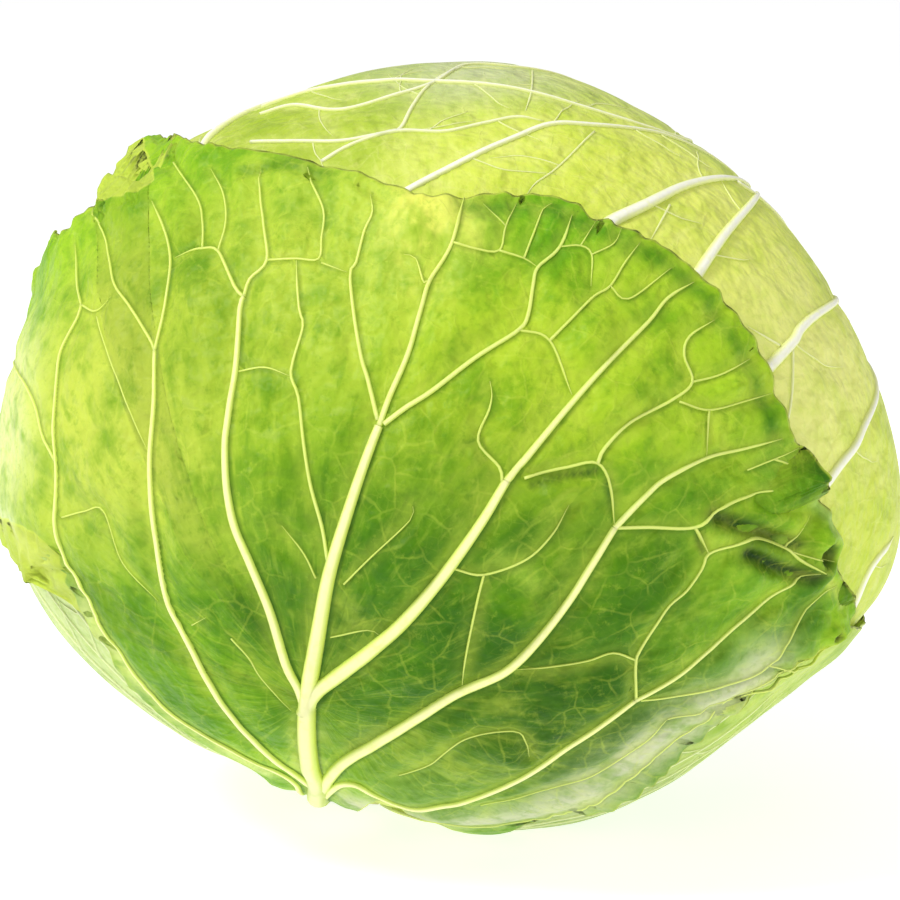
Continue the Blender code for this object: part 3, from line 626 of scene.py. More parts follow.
# Each leaf's look. A place is in the drawing or an (azimuth, degrees from the stem) pair, as the
# leaf's where says. Colours are red, green and blue of 0 to 255.
# hub, columns, rows, power: where the grid's columns meet, its size, how rows crowd at the margin
# jag: waves round the margin and mm; swells: size and mm; swell, quilt, crinkle, ripple: mm
# zones: place, reach in degrees, colour; strokes: path, reach, colour, strength; some of both are painted
# shadows and highlights
# curls: place, reach, mm that roll, degrees; pleats: path, valley and bank in degrees, mm
# cups: place, radii in drawing units, mm, colour of the painted shade inside; bumps: place, reach in degrees,
# mm
looks = dict(
    front_leaf=dict(
        hub=drawn([(312, 700)])[0], columns=880, rows=92, power=0.62, seed=3, slot="outer_leaf",
        jag=((9, 0.8), (30, 0.55), (75, 0.3)), swell=1.1, crinkle=1.0, ripple=0.9, taper=0.0013,
        ribWidth=0.8, quilt=0.8, swells=((24.0, 0.6), (11.0, 0.35), (5.0, 0.15)),
        base=(150, 196, 30), where=drawn, rib=(250, 249, 176), slim=(214, 234, 92),
        shade=(30, 84, 2), glow=(212, 228, 84), mottle=(156, 200, 92), paler=0.34,
        zones=(((390, 640), 15, (68, 122, 6)), ((560, 700), 14, (34, 86, 0)),
               ((460, 520), 13, (58, 116, 2)), ((160, 620), 13, (100, 154, 6)),
               ((110, 430), 14, (198, 210, 82)), ((210, 330), 13, (138, 170, 32)),
               ((320, 260), 12, (184, 206, 68)), ((500, 400), 12, (180, 208, 46)),
               ((640, 330), 10, (168, 200, 42)), ((735, 345), 6, (168, 208, 32)),
               ((570, 225), 6, (104, 172, 0)), ((700, 450), 10, (160, 196, 38)),
               ((720, 590), 9, (122, 170, 18)), ((640, 620), 9, (82, 136, 10)),
               # The first zone here is a painted highlight, the left edge washed pale
               ((20, 420), 8, (232, 238, 160)), ((440, 780), 7, (112, 152, 54)),
               ((345, 630), 5, (50, 100, 8)), ((285, 610), 5, (70, 120, 12)),
               ((690, 505), 4, (84, 144, 10)), ((660, 560), 3, (64, 116, 8)),
               ((735, 578), 3, (150, 196, 52)), ((790, 605), 3, (80, 132, 18)),
               ((770, 465), 3, (112, 166, 40)), ((510, 590), 4, (100, 150, 16)),
               ((430, 470), 4, (150, 184, 44)), ((270, 420), 5, (140, 178, 34)),
               ((425, 235), 5, (242, 242, 118))),
        strokes=((((470, 212), (520, 210), (562, 218), (600, 236), (640, 258), (680, 285), (712, 322),
                   (742, 365), (756, 400), (766, 435)), 1.5, (62, 130, 2), 0.75),
                 (((424, 208), (420, 240), (430, 272)), 2.8, (236, 238, 104), 0.9),
                 # Painted shadows along the two pleats' valleys
                 (((708, 514), (742, 526), (786, 542)), 1.3, (12, 60, 2), 1.0),
                 (((740, 550), (770, 564), (800, 572)), 1.3, (12, 54, 2), 1.0),
                 (((818, 574), (828, 598)), 1.0, (206, 222, 96), 0.7),
                 # Painted shadows under and beside ribs
                 (((532, 484), (566, 475), (594, 471)), 0.5, (24, 80, 4), 0.85),
                 (((606, 480), (612, 506)), 0.6, (36, 100, 6), 0.7),
                 (((694, 531), (700, 550)), 0.5, (10, 60, 4), 0.85),
                 # Painted shade in a pocket and along a pleat's valley
                 (((652, 742), (666, 706)), 0.8, (24, 76, 4), 0.95),
                 (((712, 692), (746, 678)), 0.8, (24, 76, 4), 0.95),
                 (((740, 612), (770, 632)), 1.6, (60, 116, 10), 0.6),
                 (((796, 462), (812, 476)), 1.3, (46, 132, 14), 0.7),
                 (((806, 500), (820, 528)), 1.2, (176, 210, 112), 0.7),
                 # A painted highlight
                 (((500, 556), (530, 578)), 1.4, (168, 198, 70), 0.6),
                 # Painted shade in the hollow right of the petiole
                 (((352, 745), (380, 730)), 2.0, (112, 142, 62), 0.6),
                 # Painted shadow under the rolled rim
                 (((250, 177), (285, 170), (330, 180)), 0.7, (80, 132, 16), 0.7),
                 (((360, 802), (450, 813), (500, 812), (560, 792), (630, 748), (690, 706), (750, 662)), 4.8,
                  (206, 210, 176), 0.95),
                 (((318, 790), (309, 760), (307, 730)), 2.6, (206, 220, 120), 0.8),
                 (((700, 712), (760, 664), (820, 630), (846, 600)), 1.0, (190, 212, 96), 0.7),
                 (((40, 530), (84, 585), (118, 640), (185, 712), (270, 768)), 2.0, (212, 228, 138), 0.85),
                 (((400, 812), (450, 822), (500, 828), (553, 816), (600, 800)), 1.6, (210, 218, 134), 0.8),
                 # A painted highlight along the left edge
                 (((4, 440), (10, 490), (36, 520)), 1.6, (238, 243, 190), 0.7)),
        curls=(((178, 150), 2.4, 2.6, 70), ((112, 214), 3.0, 2.4, 50),
               ((804, 466), 3.0, 3.4, 110),
               ((834, 592), 2.5, 3.0, 90)),
        pleats=((((714, 519), (742, 527), (776, 537)), 1.1, 2.8, 2.4),
                (((742, 553), (770, 566), (800, 574)), 1.1, 2.8, 2.4),
                (((700, 700), (760, 672), (812, 640)), 1.3, 3.0, 2.0),
                (((430, 205), (437, 250), (432, 292)), 2.2, 3.8, 0.8),
                (((246, 180), (285, 174), (326, 186)), 0.8, 1.8, 1.2),
                (((108, 224), (126, 214), (146, 208)), 0.8, 1.8, 1.2),
                (((356, 190), (392, 210), (420, 214)), 0.8, 2.0, 1.0),
                (((520, 470), (556, 478), (594, 476)), 0.9, 2.4, 1.2),
                (((756, 500), (785, 505), (812, 500)), 1.3, 3.0, 2.2),
                (((640, 600), (668, 570), (690, 545)), 1.6, 3.8, 1.6)),
        # The cups' colours are painted shade in their hollows
        cups=(((809, 550), (15, 17), 3.6, (16, 72, 4)), ((812, 625), (8, 6), 2.0, (18, 50, 4))),
        bumps=(((806, 470), 2.4, 2.5), ((800, 528), 2.2, 3.0), ((738, 582), 3.2, 2.6), ((655, 600), 2.8, 1.8),
               ((560, 500), 3.5, 1.8), ((530, 620), 4.0, 1.6), ((470, 450), 3.5, 1.4), ((620, 400), 3.2, 1.8),
               ((725, 390), 2.6, 2.0), ((700, 440), 2.5, 1.8), ((590, 340), 3.0, 1.8), ((440, 340), 3.5, 1.4),
               ((200, 300), 3.5, 1.6), ((290, 340), 3.0, 1.6), ((190, 230), 2.5, 1.8), ((120, 290), 3.0, 1.6),
               ((400, 560), 4.0, 1.5), ((270, 500), 4.0, 1.4), ((120, 480), 4.0, 1.4), ((200, 560), 4.0, 1.4),
               ((430, 680), 4.0, 1.6), ((520, 740), 4.0, 1.4), ((600, 690), 3.5, 1.6), ((710, 650), 2.5, 1.8),
               ((760, 610), 2.2, 2.0), ((290, 230), 2.5, 1.4), ((500, 230), 2.2, 1.6),
               ((560, 240), 2.0, 1.6)),
    ),
    crown_leaf=dict(
        paleLook, hub=turned([(0, 98)])[0], columns=640, rows=108, power=0.72, seed=13, slot="crown_leaf",
        swell=0.55, crinkle=0.7, ripple=0.8,
        base=(214, 228, 100), where=drawn, rib=(254, 254, 232), slim=(240, 246, 160),
        shade=(178, 204, 36), glow=(238, 242, 150), mottle=(226, 238, 190), ribWidth=1.15,
        zones=(((560, 160), 12, (216, 230, 84)), ((700, 220), 12, (230, 238, 112)),
               ((820, 380), 12, (244, 246, 146)), ((870, 500), 9, (208, 226, 76)),
               ((450, 70), 12, (198, 208, 158)), ((300, 110), 12, (170, 194, 56)),
               ((640, 100), 12, (206, 220, 120))),
    ),
    right_leaf=dict(
        paleLook, hub=turned([(120, 62)])[0], columns=520, rows=64, power=0.85, seed=23, slot="side_leaf",
        swell=0.6, crinkle=0.8, ripple=0.9,
        base=(150, 188, 70), where=turned, rib=(246, 249, 214), slim=(226, 238, 164),
        shade=(80, 130, 24), glow=(212, 226, 132), mottle=(196, 220, 150),
        # The second zone here is painted light: paler where the flared margin lies in shade
        zones=(((50, 40), 16, (184, 198, 132)), ((92, 88), 9, (222, 238, 132)),
               ((66, 80), 12, (196, 218, 100)), ((120, 20), 14, (186, 206, 110)),
               ((150, 90), 20, (128, 174, 50))),
        bumps=(((78, 87), 8, -1.6), ((94, 90), 9, -2.0)),
    ),
    left_leaf=dict(
        paleLook, hub=turned([(-120, 62)])[0], columns=520, rows=64, power=0.85, seed=33, slot="side_leaf",
        swell=0.6, crinkle=0.8, ripple=0.9,
        base=(156, 192, 72), where=turned, rib=(246, 249, 214), slim=(226, 238, 168),
        shade=(84, 134, 26), glow=(214, 228, 136), mottle=(196, 220, 150),
        zones=(((-60, 50), 16, (214, 230, 158)), ((-120, 20), 14, (190, 210, 120)),
               ((-150, 90), 20, (134, 178, 54))),
    ),
    crown_back_leaf=dict(
        paleLook, hub=turned([(175, 95)])[0], columns=520, rows=60, power=0.85, seed=43, slot="crown_leaf",
        swell=0.55, crinkle=0.6, ripple=0.8,
        base=(206, 220, 112), where=turned, rib=(248, 249, 220), slim=(232, 240, 168),
        shade=(160, 186, 56), glow=(230, 236, 156), mottle=(220, 234, 180),
        zones=(((175, 60), 25, (190, 212, 96)),),
    ),
)


# How a blade is thick: at the rim in mm, as a share at the margin, and the mm in where it is
# full; the share of the ribs' ridges that the blade itself shows
bladeForm = dict(rim=0.25, thin=0.40, fullFrom=9.0, ridge=0.6)
# The margin's ripples and crinkles: waves round the leaf with their shares, and how deep they
# reach in mm; waver is the size and turns by which crinkles come unevenly; quilt is the mm from
# a rib where the swelling between ribs is full
edgeForm = dict(
    ripples=((22, 1.0), (48, 0.6)), rippleReach=13.0, crinkles=140, waver=(8.0, 0.6), patches=15,
    crinkleReach=5.0, crinkleShare=0.6, quilt=6.0, deepest=-0.5, deepestRipple=-0.6,
)
# How much deeper a pleat's valley is than its bank, how a bump fades over mm to a rib, and how a
# cup's wall falls off outside and where its floor begins
foldForm = dict(valley=1.12, bumpFrom=0.15, bumpGap=4.0, wall=0.8, floor=0.25)
# Curls: the least turn in radians that counts; and the height in mm under which points keep out
# of the floor
curlForm = dict(least=0.02, low=12.0)


# One leaf's blade: a chart place, how deep it lies in the leaf and where along the margin give
# the height of the inner face, and any height over it gives a point
class Blade:
    # The grid, its margin, and how much and how far each margin place rolls up: the curls' bells
    def __init__(self, leaf, centre):
        self.leaf, self.look, self.centre = leaf, looks[leaf.name], centre
        look = self.look
        self.hub = leaf.flat(look["hub"][None])[0]
        self.grid, self.out, self.share, self.isOuter = shellGrid(
            leaf, self.hub, look["columns"], look["rows"], look["power"], look["jag"], look["seed"])
        self.edge = self.grid[np.where(self.isOuter)[0][-1]]
        self.roll, self.turn = np.zeros(len(self.edge)), np.zeros(len(self.edge))
        for where, reach, length, angle in look["curls"]:
            away = np.hypot(*(self.edge - leaf.flat(look["where"]([where]))[0]).T)
            weight = np.exp(-(away / reach) ** 2)
            self.roll = np.maximum(self.roll, length * np.minimum(1.0, 1.4 * weight))
            self.turn = np.maximum(self.turn, np.radians(angle) * weight)

    # A value of the margin at places along it, straight between the columns
    def alongEdge(self, values, place):
        closed = np.append(values, values[:1])
        return np.interp(place * len(values), np.arange(len(closed)), closed)

    # Millimetres in from the margin and the place along it
    def within(self, p):
        depth, place = self.leaf.inside(p, self.edge)
        return np.maximum(depth, 0.0) * degree / mm, place

    # The inner face's height: the drape, soft swelling, ripples that die away inward, quick
    # crinkles at the margin, pleats with raised banks, and cups
    def height(self, p, depth, place):
        leaf, look, e, fold = self.leaf, self.look, edgeForm, foldForm
        d = leaf.raised(p)
        radius, shown, free = innerFace(leaf, d, depth * mm / degree, place)
        signed, half, gap, ridge = ribField(leaf, p, look["taper"])
        seed = look["seed"]
        body = d * 90.0
        swell = sum(a * noise(body, size, seed + i) for i, (size, a) in enumerate(look["swells"]))
        swell = look["swell"] * (swell + look["quilt"] * smooth(gap / (e["quilt"] * mm))) * shown
        turns = 2 * math.pi * place
        loop = np.stack((np.cos(turns), np.sin(turns), 0 * turns), 1)
        wobble = sum(a * noise(loop * f, 1.0, seed + 4 + i) for i, (f, a) in enumerate(e["ripples"]))
        ripple = look["ripple"] * wobble * smooth(1 - depth / e["rippleReach"])
        size, turn = e["waver"]
        phase = 2 * math.pi * (place * e["crinkles"] + turn * noise(body, size, seed + 6))
        patchy = 0.6 + 0.5 * noise(loop * e["patches"], 1.0, seed + 7)
        crinkle = look["crinkle"] * np.sin(phase) * np.exp(-depth / e["crinkleReach"]) * patchy
        rough = np.maximum(ripple, e["deepestRipple"]) + e["crinkleShare"] * crinkle
        lift = np.maximum(swell, e["deepest"]) + rough * free
        for path, valley, bank, high in look["pleats"]:
            away = distanceTo(p, leaf.flat(look["where"](path)))
            dip = fold["valley"] * np.exp(-(away / valley) ** 2)
            lift += high * (np.exp(-(away / bank) ** 2) - dip)
        for where, reach, high in look["bumps"]:
            away = np.hypot(*(p - leaf.flat(look["where"]([where]))[0]).T)
            clear = smooth(fold["bumpFrom"] + gap / (fold["bumpGap"] * mm))
            lift += high * np.exp(-(away / reach) ** 2) * clear
        for where, radii, high, _ in look["cups"]:
            away = cupPlace(leaf, look, p, where, radii)
            wall = np.exp(-np.maximum(away - 1.0, 0.0) ** 2 / fold["wall"])
            lift += high * wall * smooth(0.1 + 0.9 * (away - fold["floor"]) / (1.0 - fold["floor"]))
        fields = dict(d=d, signed=signed, half=half, gap=gap, ridge=ridge, shown=shown)
        return radius + mm * lift, fields

    # Points at a height over the inner face, rolled up about the margin where it curls
    def points(self, p, depth, place, height, over):
        roll, turn = self.alongEdge(self.roll, place), self.alongEdge(self.turn, place)
        outward = np.stack([self.alongEdge(self.out[:, i], place) for i in (0, 1)], 1)
        into = np.maximum(roll - depth, 0.0)
        least = curlForm["least"]
        curve = np.where(turn > least, roll / np.maximum(turn, least), 1e3)
        bend = into / np.maximum(curve, 1e-3)
        slide = mm * np.where(into > 0, curve * np.sin(bend) - into, 0.0) - over * np.sin(bend)
        rise = mm * np.where(into > 0, curve * (1 - np.cos(bend)), 0.0) - over * (1 - np.cos(bend))
        tall = height + over + rise
        ray = self.leaf.raised(p + outward * (slide / degree)[:, None])
        points = (ray * tall[:, None]) @ toWorld.T + self.centre
        low = points[:, 2] < curlForm["low"] * mm
        under = np.maximum(headTop(ray[low]) - tall[low], 0.0)
        points[low, 2] = np.maximum(points[low, 2], under)
        return points


# The outermost face's distance from the centre, without ribs or swelling
def headTop(d):
    top = headRadius(d)
    for leaf in leaves:
        depth, place = leaf.inside(leaf.flat(d))
        radius, _, _ = innerFace(leaf, d, depth, place)
        top = np.where(depth > -1.0, radius + head["blade"], top)
    return top


# 0 in a cup's middle, 1 on its oval rim
def cupPlace(leaf, look, p, where, radii):
    off = (p - leaf.flat(look["where"]([where]))[0]) * degree / head["unit"]
    return np.hypot(off[:, 0] / radii[0], off[:, 1] / radii[1])


# How much the leaf's own colour counts beside its zones', and how wide a cup's painted shade fades
tintForm = dict(own=0.12, cup=0.35)


# Each zone's colour counts by its bell, then strokes and cups are laid over; some zones and strokes are
# painted shadows and highlights, and the cups' colour is painted shade
def tintOf(leaf, look, d, p):
    total = np.full(len(d), tintForm["own"])
    colour = total[:, None] * paint(*look["base"])
    for where, reach, rgb in look["zones"]:
        w = np.exp(-(angleFrom(d, look["where"]([where])[0]) / reach) ** 2)
        total, colour = total + w, colour + w[:, None] * paint(*rgb)
    colour = colour / total[:, None]
    for path, reach, rgb, strength in look["strokes"]:
        away = distanceTo(p, leaf.flat(look["where"](path)))
        w = (strength * np.exp(-(away / reach) ** 2))[:, None]
        colour = colour * (1 - w) + w * paint(*rgb)
    # Painted shade inside each cup's hollow
    for where, radii, rise, rgb in look["cups"]:
        w = smooth((1.0 - cupPlace(leaf, look, p, where, radii)) / tintForm["cup"])[:, None]
        colour = colour * (1 - w) + w * paint(*rgb)
    return np.concatenate((colour, np.ones((len(d), 1))), 1)


# One leaf's closed blade: its outer face is the inner face's height plus the thickness and the
# ribs' ridges, and its points carry what the finish reads
def makeBlade(blade):
    leaf, look, grid = blade.leaf, blade.look, blade.grid
    rows, columns = grid.shape[:2]
    p = np.vstack((grid.reshape(-1, 2), blade.hub[None], blade.hub[None]))
    outer = np.concatenate((np.repeat(blade.isOuter, columns), (True, False)))
    atRim = np.concatenate((np.repeat(blade.share > 0.9999, columns), (False, False)))
    depth, place = blade.within(p)
    depth[atRim] = 0.0
    height, f = blade.height(p, depth, place)
    thick = mm * np.where(atRim, bladeForm["rim"], bladeThickness(depth))
    over = np.where(outer, thick + bladeForm["ridge"] * f["ridge"] * f["shown"], 0.0)
    points = blade.points(p, depth, place, height, over)
    n = rows * columns
    grid = points[:n].reshape(rows, columns, 3)
    piece = closedMesh(leaf.name + "_blade", [(grid, points[n], points[n + 1])])
    addField(piece, "rib", "FLOAT_VECTOR", np.stack((f["signed"], f["half"], f["gap"]), 1) / mm)
    addField(piece, "place", "FLOAT_VECTOR", np.concatenate((p * degree / mm, depth[:, None]), 1))
    addField(piece, "tint", "FLOAT_COLOR", tintOf(leaf, look, f["d"], p))
    piece.data.materials.append(leafFinish(leaf.name + "_skin", look, blade.hub * degree / mm))
    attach(piece, "root")
    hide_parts(leaf.name)
    print(piece.name, len(points), "points", points.min(0).round(4), points.max(0).round(4))


# Thin at the margin and full further in, in mm
def bladeThickness(depth):
    thin = bladeForm["thin"]
    return head["blade"] / mm * (thin + (1.0 - thin) * smooth(depth / bladeForm["fullFrom"]))


# A rib's section, flank to flank over the crest and back underneath: places across in half
# widths, 1 where the crest rises, and mm sunk in the blade. The rest are in degrees or shares.
ribForm = dict(
    across=(-1.0, -0.72, -0.4, 0.0, 0.4, 0.72, 1.0, 0.6, 0.0, -0.6),
    raised=(0, 1, 1, 1, 1, 1, 0, 0, 0, 0),
    sunk=(0.18, -0.10, -0.12, -0.12, -0.12, -0.10, 0.18, 0.45, 0.5, 0.45),
    step=0.75, height=0.29, roundness=0.7, tipWidth=0.3, tipReach=4.0, tipSunk=0.25, least=0.03,
)


# Ribs: a rounded strip along each path. Its height is a share of its width times one less the
# square of the place across, to a power, and its flanks and back lie in the blade
def makeRibs(blade):
    leaf, look = blade.leaf, blade.look
    across, sunk = np.array(ribForm["across"]), np.array(ribForm["sunk"])
    crest = np.array(ribForm["raised"]) * (1 - across ** 2) ** ribForm["roundness"]
    m, counts, rows, ends, widths = len(across), [], [], [], []
    for start, end, path in leaf.ribs:
        line = spline(path, ribForm["step"])
        run = np.concatenate(([0.0], np.cumsum(np.linalg.norm(np.diff(line, axis=0), axis=1))))
        width = (start + (end - start) * run / run[-1]) * look["ribWidth"]
        if end < look["taper"]:
            tip = ribForm["tipWidth"]
            width = width * (tip + (1.0 - tip) * smooth((run[-1] - run) / ribForm["tipReach"]))
        ahead = unit(np.gradient(line, axis=0))
        right = np.stack((ahead[:, 1], -ahead[:, 0]), 1)
        sideways = across[None, :, None] * width[:, None, None] / 2 / degree
        rows.append(line[:, None] + right[:, None] * sideways)
        counts.append(len(line))
        ends.append(line[[0, -1]])
        widths.append(width)
    steps, width = sum(counts), np.concatenate(widths)
    p = np.vstack((np.vstack(rows).reshape(-1, 2), np.vstack(ends)))
    depth, place = blade.within(p)
    height, f = blade.height(p, depth, place)
    wide = np.concatenate((np.repeat(width, m), np.full(2 * len(ends), mm)))
    bell = np.concatenate((np.tile(crest, steps), np.zeros(2 * len(ends))))
    sink = np.concatenate((np.tile(sunk, steps), np.full(2 * len(ends), ribForm["tipSunk"])))
    over = mm * (bladeThickness(depth) - sink) + ribForm["height"] * wide * bell * f["shown"]
    points = blade.points(p, depth, place, height, over)
    tips = points[steps * m:].reshape(-1, 2, 3)
    points = points[:steps * m].reshape(steps, m, 3)
    shown = f["shown"][:steps * m].reshape(steps, m).mean(1) > ribForm["least"]
    tint = tintOf(leaf, look, f["d"], p)[:steps * m].reshape(steps, m, 4)
    hand = np.tile(across, steps)
    field = np.stack((np.abs(hand), wide[:steps * m] / mm, hand), 1).reshape(steps, m, 3)
    # Each strip keeps the stretch that no leaf covers
    strips, at = [], 0
    for count, tip in zip(counts, tips):
        seen = np.flatnonzero(shown[at:at + count])
        if len(seen) > 3:
            keep = slice(at + seen[0], at + seen[-1] + 1)
            grid = points[keep]
            low = tip[0] if seen[0] == 0 else grid[0].mean(0)
            high = tip[1] if seen[-1] == count - 1 else grid[-1].mean(0)
            flat = [v[keep].reshape(-1, v.shape[-1]) for v in (field, tint)]
            strips.append(((grid, low, high), *(np.vstack((v, v[[0, -1]])) for v in flat)))
        at += count
    piece = closedMesh(leaf.name + "_ribs", [s[0] for s in strips])
    addField(piece, "strip", "FLOAT_VECTOR", np.vstack([s[1] for s in strips]))
    addField(piece, "tint", "FLOAT_COLOR", np.vstack([s[2] for s in strips]))
    piece.data.materials.append(ribFinish(leaf.name + "_rib", look))
    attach(piece, "root")
    print(piece.name, len(piece.data.polygons), "faces")


class Sock:
    # A socket with arithmetic: each operator adds a Math node to the same tree
    def __init__(self, tree, out):
        self.tree, self.out = tree, out

    def worked(self, operation, first, second):
        return self.tree.node("ShaderNodeMath", dict(operation=operation), {0: first, 1: second})

    def __add__(self, other):
        return self.worked("ADD", self, other)

    def __radd__(self, other):
        return self.worked("ADD", self, other)

    def __sub__(self, other):
        return self.worked("SUBTRACT", self, other)

    def __rsub__(self, other):
        return self.worked("SUBTRACT", other, self)

    def __mul__(self, other):
        return self.worked("MULTIPLY", self, other)

    def __rmul__(self, other):
        return self.worked("MULTIPLY", self, other)

    def __truediv__(self, other):
        return self.worked("DIVIDE", self, other)

    def __rtruediv__(self, other):
        return self.worked("DIVIDE", other, self)

    def atMost(self, limit):
        return self.worked("MINIMUM", self, limit)

    # 0 below low, 1 above high, eased between
    def ease(self, low, high):
        values = {"Value": self, "From Min": low, "From Max": high, "To Min": 0.0, "To Max": 1.0}
        return self.tree.node("ShaderNodeMapRange", dict(interpolation_type="SMOOTHSTEP"), values)


class Finish:
    # A material and its Principled shader
    def __init__(self, name):
        self.material = bpy.data.materials.new(name)
        self.material.use_nodes = True
        self.nodes, self.links = self.material.node_tree.nodes, self.material.node_tree.links
        self.shader = self.nodes["Principled BSDF"]

    def fill(self, socket, value):
        if isinstance(value, Sock):
            self.links.new(value.out, socket)
        else:
            socket.default_value = value

    # Any node: its type, its settings, then its sockets' values or links
    def node(self, kind, settings=None, sockets=None, output=0):
        made = self.nodes.new(kind)
        for key, value in (settings or {}).items():
            setattr(made, key, value)
        for key, value in (sockets or {}).items():
            self.fill(made.inputs[key], value)
        return Sock(self, made.outputs[output])

    def feed(self, key, value):
        self.fill(self.shader.inputs[key], value)

    # The object's own place in millimetres
    def objectPlace(self):
        place = self.node("ShaderNodeTexCoord", output="Object")
        return self.vectors("SCALE", {0: place, "Scale": 1.0 / mm})

    def vectors(self, operation, values, output=0):
        return self.node("ShaderNodeVectorMath", dict(operation=operation), values, output)

    def field(self, name, output="Vector"):
        return self.node("ShaderNodeAttribute", dict(attribute_name=name), None, output)

    def parts(self, vector):
        made = self.node("ShaderNodeSeparateXYZ", None, {0: vector}).out.node
        return [Sock(self, out) for out in made.outputs]

    def joined(self, x, y, z):
        return self.node("ShaderNodeCombineXYZ", None, {"X": x, "Y": y, "Z": z})

    # Two colours mixed; each is a socket or a linear red, green and blue
    def blend(self, factor, a, b, how="MIX"):
        a, b = (v if isinstance(v, Sock) else (*v, 1.0) for v in (a, b))
        settings = dict(data_type="RGBA", blend_type=how, clamp_factor=True)
        return self.node("ShaderNodeMix", settings, {0: factor, 6: a, 7: b}, 2)

    def noise(self, place, size, detail=3.0, rough=0.55):
        values = {"Vector": place, "Scale": 1.0 / size, "Detail": detail, "Roughness": rough}
        return self.node("ShaderNodeTexNoise", dict(noise_dimensions="3D"), values)

    # Distance to the nearest wall between random cells
    def cells(self, place, size):
        settings = dict(feature="DISTANCE_TO_EDGE", voronoi_dimensions="2D")
        return self.node("ShaderNodeTexVoronoi", settings, {"Vector": place, "Scale": 1.0 / size})

    def bump(self, height, strength, distance):
        values = {"Strength": strength, "Distance": distance, "Height": height}
        self.feed("Normal", self.node("ShaderNodeBump", None, values))

    def flesh(self, weight, radius, scale):
        self.feed("Subsurface Weight", weight)
        self.feed("Subsurface Radius", radius)
        self.feed("Subsurface Scale", scale)


# Leaf tissue. Sizes and distances are in mm. Dark and light say where a pattern's value begins
# and ends to darken or lighten, and how much; bump is how much it lifts the surface
tissueForm = dict(
    broad=dict(size=15.0, dark=(0.46, 0.66, 0.70), light=(0.28, 0.48, 0.80), bump=1.4),
    streak=dict(size=11.0, turn=20.0, dark=(0.50, 0.72, 0.50), light=(0.30, 0.48, 0.45), bump=0.3),
    speck=dict(size=2.6, dark=(0.50, 0.72, 0.45), light=(0.30, 0.45, 0.40), bump=0.25),
    pucker=dict(size=7.0, bump=3.0),
    net=dict(coarse=7.5, coarseLine=(0.012, 0.055), fine=2.6, fineLine=(0.01, 0.09), patch=9.0,
             patchFrom=(0.35, 0.62), shares=(0.62, 0.22), light=0.24, bump=0.08, warp=3.4, warpScale=0.16),
    # flank: the painted shadow line beside the ribs; halo: the pale halo beside them, partly a painted
    # highlight
    flank=dict(reach=(-0.1, 1.3), dark=0.72), halo=dict(reach=4.0, light=0.22),
    stoutFrom=(0.30, 1.5), edge=(0.15, 0.8, 0.7), rough=(0.40, 0.16),
)


